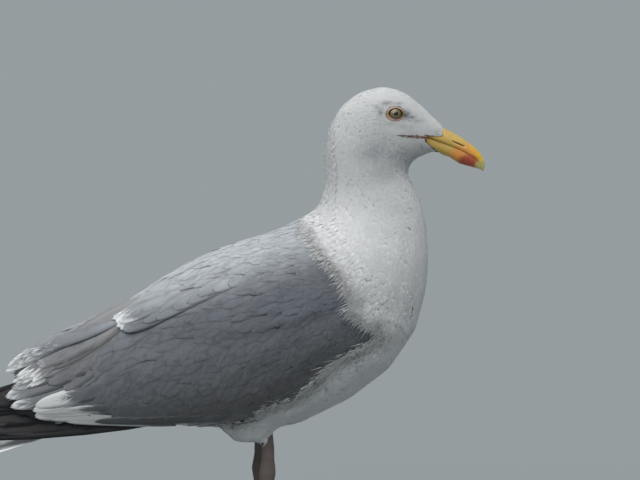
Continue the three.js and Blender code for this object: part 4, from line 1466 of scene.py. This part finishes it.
class PrimaryField:
    """How far out the stacked wing tips lie: they lean in toward their upper edge."""

    # x, the lower edge's y and z, the upper edge's y and z.
    STATIONS = (
        (-308, 13, 97, 11.5, 101.5), (-277, 20, 93, 10, 115), (-256, 24, 92.4, 10, 126),
        (-236, 27, 92.8, 11, 138.5), (-218, 29, 94, 13, 147), (-190, 31.5, 96.4, 24, 137),
        (-150, 36.5, 99.8, 33, 132), (-112, 44, 104.2, 42, 130), (-78, 50, 110.5, 49, 126),
    )

    def at(self, x, z):
        """How far out the stack lies at places of the side view."""
        stations = np.array(self.STATIONS)
        low_y, low_z, high_y, high_z = (np.interp(x, stations[:, 0], stations[:, k]) for k in range(1, 5))
        return low_y + (high_y - low_y) * (z - low_z) / (high_z - low_z)


class BuildPrimaries(bpy.types.Operator):
    """Black outer flight feathers with small white tips, stacked past the tail"""

    bl_idname = "gull.primaries"
    bl_label = "Wing tips"

    ROW = Row(8, ((-307, 99.5), (-286, 108), (-264, 118), (-247, 129)), (216, 104), (3.2, 12), (7.5, 9.5),
              -0.6, (-0.5, 0.9), (1, 0.5), bend=-0.04)

    def execute(self, context):
        vane = flight_vane()
        material = self.paint(context.scene.gull_colours)
        for label, side in SIDES.items():
            rng = np.random.default_rng(41 + side)
            points, guides = rowed(vane, self.ROW, side, rng, PrimaryField())
            plume = Plume(vane if side < 0 else vane.mirrored(), points, guides, 0.6)
            marks = {"tone": rng.normal(0, 1, plume.count), "tip": self.ROW.spread(self.ROW.white)}
            mesh = plume.mesh(f"primary_feathers_{label}", marks, cells(vane, plume.count))
            piece(f"primary_feathers_{label}", mesh, material, [f"primaries_{label}"])
        return {"FINISHED"}

    def paint(self, colours):
        paint = Paint("black_plumage", Specular_IOR_Level=0.25, Sheen_Weight=0.03)
        across, along = paint.vane()
        place = paint.place()
        noise = paint.noise(place, 60.0, 3.0)
        fine = paint.noise(place, 500.0, 3.0)
        middle = paint.math("ABSOLUTE", across - 0.5)
        barbs = paint.math("SINE", (along * 60.0 + middle * -16.0) * math.tau)
        shaft = paint.ramp(middle, 0.03, 0.01)
        red, green, blue = colours.black
        colour = paint.mix(noise, colours.black, (red * 2.185, green * 1.9, blue * 1.9))
        colour = paint.mix(shaft * 0.5, colour, (0.004, 0.004, 0.004))
        edge = paint.ramp(along + (fine - 0.5) * 0.03, 0.975, 0.985)
        colour = paint.mix(edge * paint.attribute("tip"), colour, colours.white)
        colour = paint.scale(colour, 1 + paint.attribute("tone") * 0.12 + barbs * 0.08)
        return paint.finish(colour, 0.5 + fine * 0.2, barbs * 0.5 + fine, 0.00015, 0.4)


def free_feathers(vane, roots, tips, sides, half_widths, lifts):
    """Feathers that stand free of the body, from root to tip, in bird millimetres."""
    roots, tips, sides = roots[:, None], tips[:, None], sides[:, None]
    normals = unit(np.cross(sides, tips - roots))
    along = vane.along[None, :, None]
    across = (vane.across[None] * half_widths[:, None])[..., None]
    height = (vane.rise[None] - vane.across[None] ** 2) * 0.5 + lifts[:, None]
    points = roots + (tips - roots) * along + sides * across + normals * height[..., None]
    return Plume(vane, to_row(points), np.broadcast_to(normals, points.shape), 0.6)


class BuildTail(bpy.types.Operator):
    """Twelve white tail feathers, closed under the wing tips"""

    bl_idname = "gull.tail"
    bl_label = "Tail"
    COUNT = 12
    HALF_WIDTH = 10.5
    # Where the middle feathers start and end: x, z.
    ROOT = (-165.0, 113.5)
    TIP = (-279.0, 73.5)

    def execute(self, context):
        vane = flight_vane()
        rng = np.random.default_rng(43)
        share = np.linspace(-1, 1, self.COUNT)
        order = np.abs(share)
        (root_x, root_z), (tip_x, tip_z) = self.ROOT, self.TIP
        roots = np.stack([np.full(self.COUNT, root_x), share * 12, root_z - order * 3], 1)
        ends = tip_x + order * 9
        tips = np.stack([ends, share * 21, tip_z + order * 1.5 + (ends - tip_x) * 0.3], 1)
        sides = unit(np.stack([np.zeros(self.COUNT), np.ones(self.COUNT), -share * 0.12], 1))
        half_widths = np.full(self.COUNT, self.HALF_WIDTH)
        plume = free_feathers(vane, roots, tips, sides, half_widths, order * -3.0)
        marks = plumage_marks(self.COUNT, tone=rng.normal(0, 0.4, self.COUNT))
        mesh = plume.mesh("tail_feathers", marks, cells(vane, self.COUNT))
        piece("tail_feathers", mesh, context.scene.gull_plumage, ["tail"])
        return {"FINISHED"}


class BuildFringe(bpy.types.Operator):
    """Loose white barbs of the flank and breast that lie over the front edge of each wing"""

    bl_idname = "gull.fringe"
    bl_label = "Flank fringe"
    COUNT = 5000
    DEPTH = 1.8 * MM
    # Millimetres: the shortest and longest barb, the thinnest and widest.
    LENGTHS = (9, 21)
    WIDTHS = (0.2, 0.42)
    # How high up the slope changes, and to how many degrees below the horizon.
    SLOPE_HEIGHTS = (105, 150, 200, 240)
    SLOPES = (8, 22, 38, 40)

    def execute(self, context):
        hull = plumage_hull()
        vane = blade_vane()
        rng = np.random.default_rng(51)
        for label, side in SIDES.items():
            roots = self.along_edge(hull, side, rng)
            height = to_bird(roots)[:, 2]
            _, normals = hull.settle(roots)
            slopes = np.radians(np.interp(height, self.SLOPE_HEIGHTS, self.SLOPES))
            slopes = slopes + rng.normal(0, 0.14, len(roots))
            ahead = along_slopes(slopes, normals)
            lengths = rng.uniform(*self.LENGTHS, len(roots)) * MM
            widths = rng.uniform(*self.WIDTHS, len(roots)) * MM
            depths = np.full(len(roots), self.DEPTH)
            over = np.interp(height, (150, 190), (0.35, 1.0)) * MM
            plume = laid(hull, vane, roots, ahead, lengths, widths, depths, rng, FRINGE_LIE, over)
            run, turn, _ = hull.flow(roots, normals)
            marks = plumage_marks(plume.count, tone=rng.normal(0, 0.4, plume.count))
            mesh = plume.mesh(f"coat_fringe_{label}", marks, patches(hull, vane, run, turn))
            piece(f"coat_fringe_{label}", mesh, context.scene.gull_plumage)
        return {"FINISHED"}

    def along_edge(self, hull, side, rng):
        """Places on the hull just in front of the wing's edge."""
        knots = np.array([EDGE_AHEAD, EDGE_HEIGHTS], float).T
        runs = np.concatenate([[0], np.cumsum(np.linalg.norm(np.diff(knots, axis=0), axis=1))])
        where = rng.random(self.COUNT) * runs[-1]
        x = np.interp(where, runs, knots[:, 0]) + rng.normal(6.5, 3.0, self.COUNT)
        z = np.interp(where, runs, knots[:, 1]) + rng.normal(-1.0, 1.6, self.COUNT)
        starts = to_row(np.stack([x, np.full(self.COUNT, side * 150.0), z], 1))
        hits = [hull.tree.ray_cast(start, Vector((0, -side, 0)))[0] for start in starts.tolist()]
        return np.array([hit for hit in hits if hit is not None])


class BuildBill(bpy.types.Operator):
    """The two halves of the bill, with nostrils and a red spot"""

    bl_idname = "gull.bill"
    bl_label = "Bill"
    # The line where the halves meet, and the nostril's rear and front end: x, z.
    SEAM = ((140, 362.6), (142, 362), (151, 358), (159, 355), (167, 352), (174, 349), (182, 345), (187, 340))
    NOSTRIL = ((165.8, 357.7), (175.9, 353.2))
    # Millimetres of horn over the plain shape, of the lower half's longer tip, raised edge and
    # rounder chin, and of what the face's feathers cover.
    HORN_DEPTH = 0.34
    LOWER_TIP = 3.4
    LOWER_EDGE = 1.9
    CHIN = 1.1
    TUCK = 1.3

    def execute(self, context):
        sizes = context.scene.gull_sizes
        material = self.paint(context.scene.gull_colours)
        for half in ("upper", "lower"):
            names = [f"bill_{half}"]
            bm = smoothed(refit(remeshed(merged_copy(names), sizes.bill_voxel, 4), names, 2 * MM), 10)
            bm.normal_update()
            for vert in bm.verts:
                self.shape(vert, half == "lower")
            if half == "upper":
                self.cut_nostrils(bm)
            mesh = mesh_of(bm, f"horn_{half}")
            mark(mesh, "seam", self.near_seam(points_of(mesh)))
            piece(f"horn_{half}", mesh, material, names)
        return {"FINISHED"}

    def shape(self, vert, lower):
        """Fills the horn out, and tucks in what the face's feathers cover."""
        vert.co += vert.normal * self.HORN_DEPTH * MM
        bird = to_bird(vert.co)
        x = bird[0]
        shown = smooth_step(bill_reach(bird), -1.6, 0.4)
        if lower:
            vert.co.x += self.LOWER_TIP * MM * smooth_step(x, 176, 188)
            vert.co.y *= 1 + 0.07 * smooth_step(x, 150, 168)
            if vert.normal.z > 0.25:
                vert.co.z += self.LOWER_EDGE * MM
            elif vert.normal.z < -0.2:
                vert.co.z -= self.CHIN * MM * math.exp(-(((x - 164) / 7) ** 2))
        vert.co.y *= 0.74 + 0.26 * shown + 0.30 * shown * smooth_step(-x, -158, -140)
        vert.co.z += self.TUCK * MM * (1 - shown) * (1 if lower else -1)

    def near_seam(self, points):
        """1 along the line where the halves meet, fading within a millimetre."""
        bird = to_bird(points)
        line = np.array(self.SEAM, float)
        height = np.interp(bird[:, 0], line[:, 0], line[:, 1])
        return np.exp(-(((bird[:, 2] - height) / 0.6) ** 2)) * (1 - smooth_step(bird[:, 0], 158, 178))

    def cut_nostrils(self, bm):
        """A slit on each side, rounded up at its front end."""
        start, end = np.array(self.NOSTRIL)
        along = end - start
        for vert in bm.verts:
            x, _, z = to_bird(vert.co)
            share = np.clip(np.dot((x, z) - start, along) / np.dot(along, along), 0, 1)
            near = start + along * share
            far = math.hypot(x - near[0], z - near[1])
            sink = math.exp(-((far / (0.45 + 0.35 * share)) ** 2)) if abs(vert.normal.y) > 0.35 else 0
            vert.co -= vert.normal * (1.1 * MM * sink)

    def paint(self, colours):
        paint = Paint("bill_horn", Specular_IOR_Level=0.5, Coat_Roughness=0.3)
        x, _, z = paint.axes()
        place = paint.place()
        streaks = paint.noise(place, 260.0, 4.0, 0.6)
        mottle = paint.noise(place, 900.0, 3.0)
        base = paint.ramp(x, 150.0, 138.0)
        ochre = tuple(c * f for c, f in zip(colours.bill, (0.72, 0.70, 0.9)))
        colour = paint.mix(base * 0.7 + streaks * 0.3, colours.bill, ochre)
        lemon = paint.spot(x, z, (192.0, 348.0), (11.0, 14.0), 0.9)
        colour = paint.mix(lemon * 0.85, colour, (0.60, 0.47, 0.02))
        worn = paint.spot(x, z, (162.0, 364.5), (5.0, 4.0), 0.9) * paint.ramp(mottle, 0.54, 0.66)
        colour = paint.mix(worn * 0.6, colour, (0.16, 0.09, 0.03))
        orange = paint.spot(x, z, (176.0, 344.5), (13.0, 9.5), 0.85)
        colour = paint.mix(orange * 0.7, colour, (0.62, 0.20, 0.035))
        red = paint.spot(x + mottle * 2 - 1, z, (179.3, 339.6), (8.6, 6.2), 0.75)
        colour = paint.mix(red * 0.95, colour, colours.bill_spot)
        tip = paint.spot(x + mottle * 2 - 1, z, (190.5, 335.5), (4.6, 4.6), 0.9)
        colour = paint.mix(tip * 0.7, colour, colours.bill_tip)
        slit = paint.spot(x - 170.8, (z - 355.5) + (x - 170.8) * 0.445, (0.0, 0.0), (5.2, 0.62), 0.5)
        colour = paint.mix(slit * 0.92, colour, (0.03, 0.018, 0.01))
        colour = paint.mix(paint.attribute("seam") * 0.5, colour, (0.20, 0.10, 0.02))
        colour = paint.scale(colour, 0.82 + streaks * 0.36)
        return paint.finish(colour, 0.34 + mottle * 0.2, streaks + mottle * 0.5, 0.00015, 0.4)


class BuildEyes(bpy.types.Operator):
    """Glossy eyeballs with a pale iris and a dark pupil"""

    bl_idname = "gull.eyes"
    bl_label = "Eyes"

    def execute(self, context):
        sizes = context.scene.gull_sizes
        material = self.paint(context.scene.gull_colours, sizes)
        for name, side in SIDES.items():
            centre, ahead, up, out = eye_axes(side)
            middle = centre + out * (EYE_BULGE * MM - sizes.eyeball)
            bm = bmesh.new()
            bmesh.ops.create_uvsphere(bm, u_segments=64, v_segments=48, radius=sizes.eyeball)
            radial = number_layer(bm, "radial")
            for vert in bm.verts:
                x, y, z = vert.co
                vert[radial] = math.hypot(x, y) / MM if z > 0 else 20.0
                dome = 0.35 * MM * max(0.0, 1 - (math.hypot(x, y) / sizes.iris) ** 2) if z > 0 else 0
                vert.co = middle + ahead * x + up * (y if side < 0 else -y) + out * (z + dome)
            bmesh.ops.recalc_face_normals(bm, faces=bm.faces)
            mesh = mesh_of(bm, f"eyeball_{name}")
            piece(f"eyeball_{name}", mesh, material, [f"eye_{name}"])
        return {"FINISHED"}

    def paint(self, colours, sizes):
        paint = Paint("eye", Roughness=0.08, Coat_Weight=0.5, Coat_Roughness=0.02, Specular_IOR_Level=0.4)
        radius = paint.attribute("radial")
        place = paint.place()
        fleck = paint.noise(place, 1500.0, 4.0, 0.7)
        wobble = radius + (fleck - 0.5) * 0.5
        pupil, iris = sizes.pupil / MM, sizes.iris / MM
        colour = paint.scale(colours.iris, 0.7 + fleck * 0.6)
        inner = paint.ramp(wobble, pupil + 1.1, pupil + 0.2)
        colour = paint.mix(inner * 0.45, colour, (0.30, 0.24, 0.08))
        band = paint.ramp(wobble, iris - 2.5, iris - 1.5)
        colour = paint.mix(band * 0.8, colour, (0.16, 0.085, 0.02))
        rim = paint.ramp(wobble, iris - 0.8, iris - 0.1)
        colour = paint.mix(rim, colour, (0.06, 0.035, 0.015))
        colour = paint.mix(paint.ramp(wobble, pupil + 0.25, pupil - 0.15), colour, (0.006, 0.006, 0.006))
        colour = paint.mix(paint.ramp(radius, iris, iris + 0.4), colour, (0.06, 0.035, 0.02))
        return paint.finish(colour)


class BuildClaws(bpy.types.Operator):
    """Curved dark claws"""

    bl_idname = "gull.claws"
    bl_label = "Claws"

    def execute(self, context):
        names = [f"claw_{digit}_{side}" for side in SIDES for digit in DIGITS]
        bm = remeshed(merged_copy(names), 0.35 * MM, 3)
        mesh = mesh_of(bm, "claws")
        colours = context.scene.gull_colours
        paint = Paint("claw_horn", Specular_IOR_Level=0.5)
        grain = paint.noise(paint.place(), 700.0, 3.0)
        colour = paint.mix(grain, colours.claw, tuple(c * 2.4 for c in colours.claw))
        material = paint.finish(colour, 0.32 + grain * 0.2, grain, 0.0001, 0.3)
        piece("claws", mesh, material, names)
        return {"FINISHED"}


class BuildStage(bpy.types.Operator):
    """A plain pale floor, soft light and the camera"""

    bl_idname = "gull.stage"
    bl_label = "Stage"
    FLOOR_SIZE = 300
    SKY_STRENGTH = 0.415
    SUN_WAY = (0.15, 0.40, -0.88)
    SUN_STRENGTH = 3.45
    LOOKED_AT = (0.1056, 0, 0.270)

    def execute(self, context):
        scene = context.scene
        sizes, colours = scene.gull_sizes, scene.gull_colours
        bm = bmesh.new()
        bmesh.ops.create_grid(bm, x_segments=8, y_segments=8, size=self.FLOOR_SIZE)
        floor = bpy.data.objects.new("floor", mesh_of(bm, "floor"))
        scene.collection.objects.link(floor)
        paint = Paint("floor", Roughness=0.9, Specular_IOR_Level=0.1)
        grain = paint.noise(paint.place(), 3.0, 3.0)
        colour = paint.scale(colours.floor, 0.98 + grain * 0.04)
        floor.data.materials.append(paint.finish(colour))
        world = bpy.data.worlds.new("room")
        world.use_nodes = True
        background = world.node_tree.nodes["Background"]
        background.inputs["Color"].default_value = (*colours.sky, 1)
        background.inputs["Strength"].default_value = self.SKY_STRENGTH
        scene.world = world
        scene.view_settings.view_transform = "Standard"
        self.add_sun("top_light", Vector(self.SUN_WAY), self.SUN_STRENGTH)
        middle = Vector(self.LOOKED_AT)
        angle = sizes.camera_height
        camera = bpy.data.objects.new("camera", bpy.data.cameras.new("camera"))
        camera.data.lens = sizes.camera_lens
        camera.data.clip_end = 1000
        camera.location = middle + Vector((0, -math.cos(angle), math.sin(angle))) * sizes.camera_distance
        camera.rotation_euler = (middle - camera.location).to_track_quat("-Z", "Y").to_euler()
        scene.collection.objects.link(camera)
        scene.camera = camera
        return {"FINISHED"}

    def add_sun(self, name, way, power):
        """A broad soft light from above, a little behind the bird."""
        data = bpy.data.lights.new(name, "SUN")
        data.angle = math.radians(75)
        data.energy = power
        light = bpy.data.objects.new(name, data)
        light.rotation_euler = way.to_track_quat("-Z", "Y").to_euler()
        bpy.context.scene.collection.objects.link(light)


class GullPanel(bpy.types.Panel):
    """Lists what builds the gull and what can be changed on it"""

    bl_idname = "VIEW3D_PT_gull"
    bl_label = "Herring gull"
    bl_space_type = "VIEW_3D"
    bl_region_type = "UI"
    bl_category = "Gull"

    def draw(self, context):
        column = self.layout.column()
        for operator in OPERATORS:
            column.operator(operator.bl_idname)
        for group in (context.scene.gull_sizes, context.scene.gull_colours):
            for name in group.bl_rna.properties.keys():
                if name not in ("name", "rna_type"):
                    column.prop(group, name)


OPERATORS = (
    BuildSkin, BuildHeadCoat, BuildNeckCoat, BuildBodyCoat, BuildMantle, BuildCoverts,
    BuildFlightFeathers, BuildFringe, BuildPrimaries, BuildTail, BuildBill, BuildEyes, BuildClaws, BuildStage,
)
CLASSES = (GullSizes, GullColours, *OPERATORS, GullPanel)


def register():
    for cls in CLASSES:
        bpy.utils.register_class(cls)
    bpy.types.Scene.gull_sizes = bpy.props.PointerProperty(type=GullSizes)
    bpy.types.Scene.gull_colours = bpy.props.PointerProperty(type=GullColours)
    bpy.types.Scene.gull_plumage = bpy.props.PointerProperty(type=bpy.types.Material)


def unregister():
    del bpy.types.Scene.gull_plumage
    del bpy.types.Scene.gull_colours
    del bpy.types.Scene.gull_sizes
    for cls in reversed(CLASSES):
        bpy.utils.unregister_class(cls)


def main():
    """Registers the add-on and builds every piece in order."""
    register()
    scene = bpy.context.scene
    scene.gull_plumage = plumage_paint("plumage", scene.gull_colours)
    for operator in OPERATORS:
        folder, name = operator.bl_idname.split(".")
        getattr(getattr(bpy.ops, folder), name)()


if __name__ == "__main__":
    main()
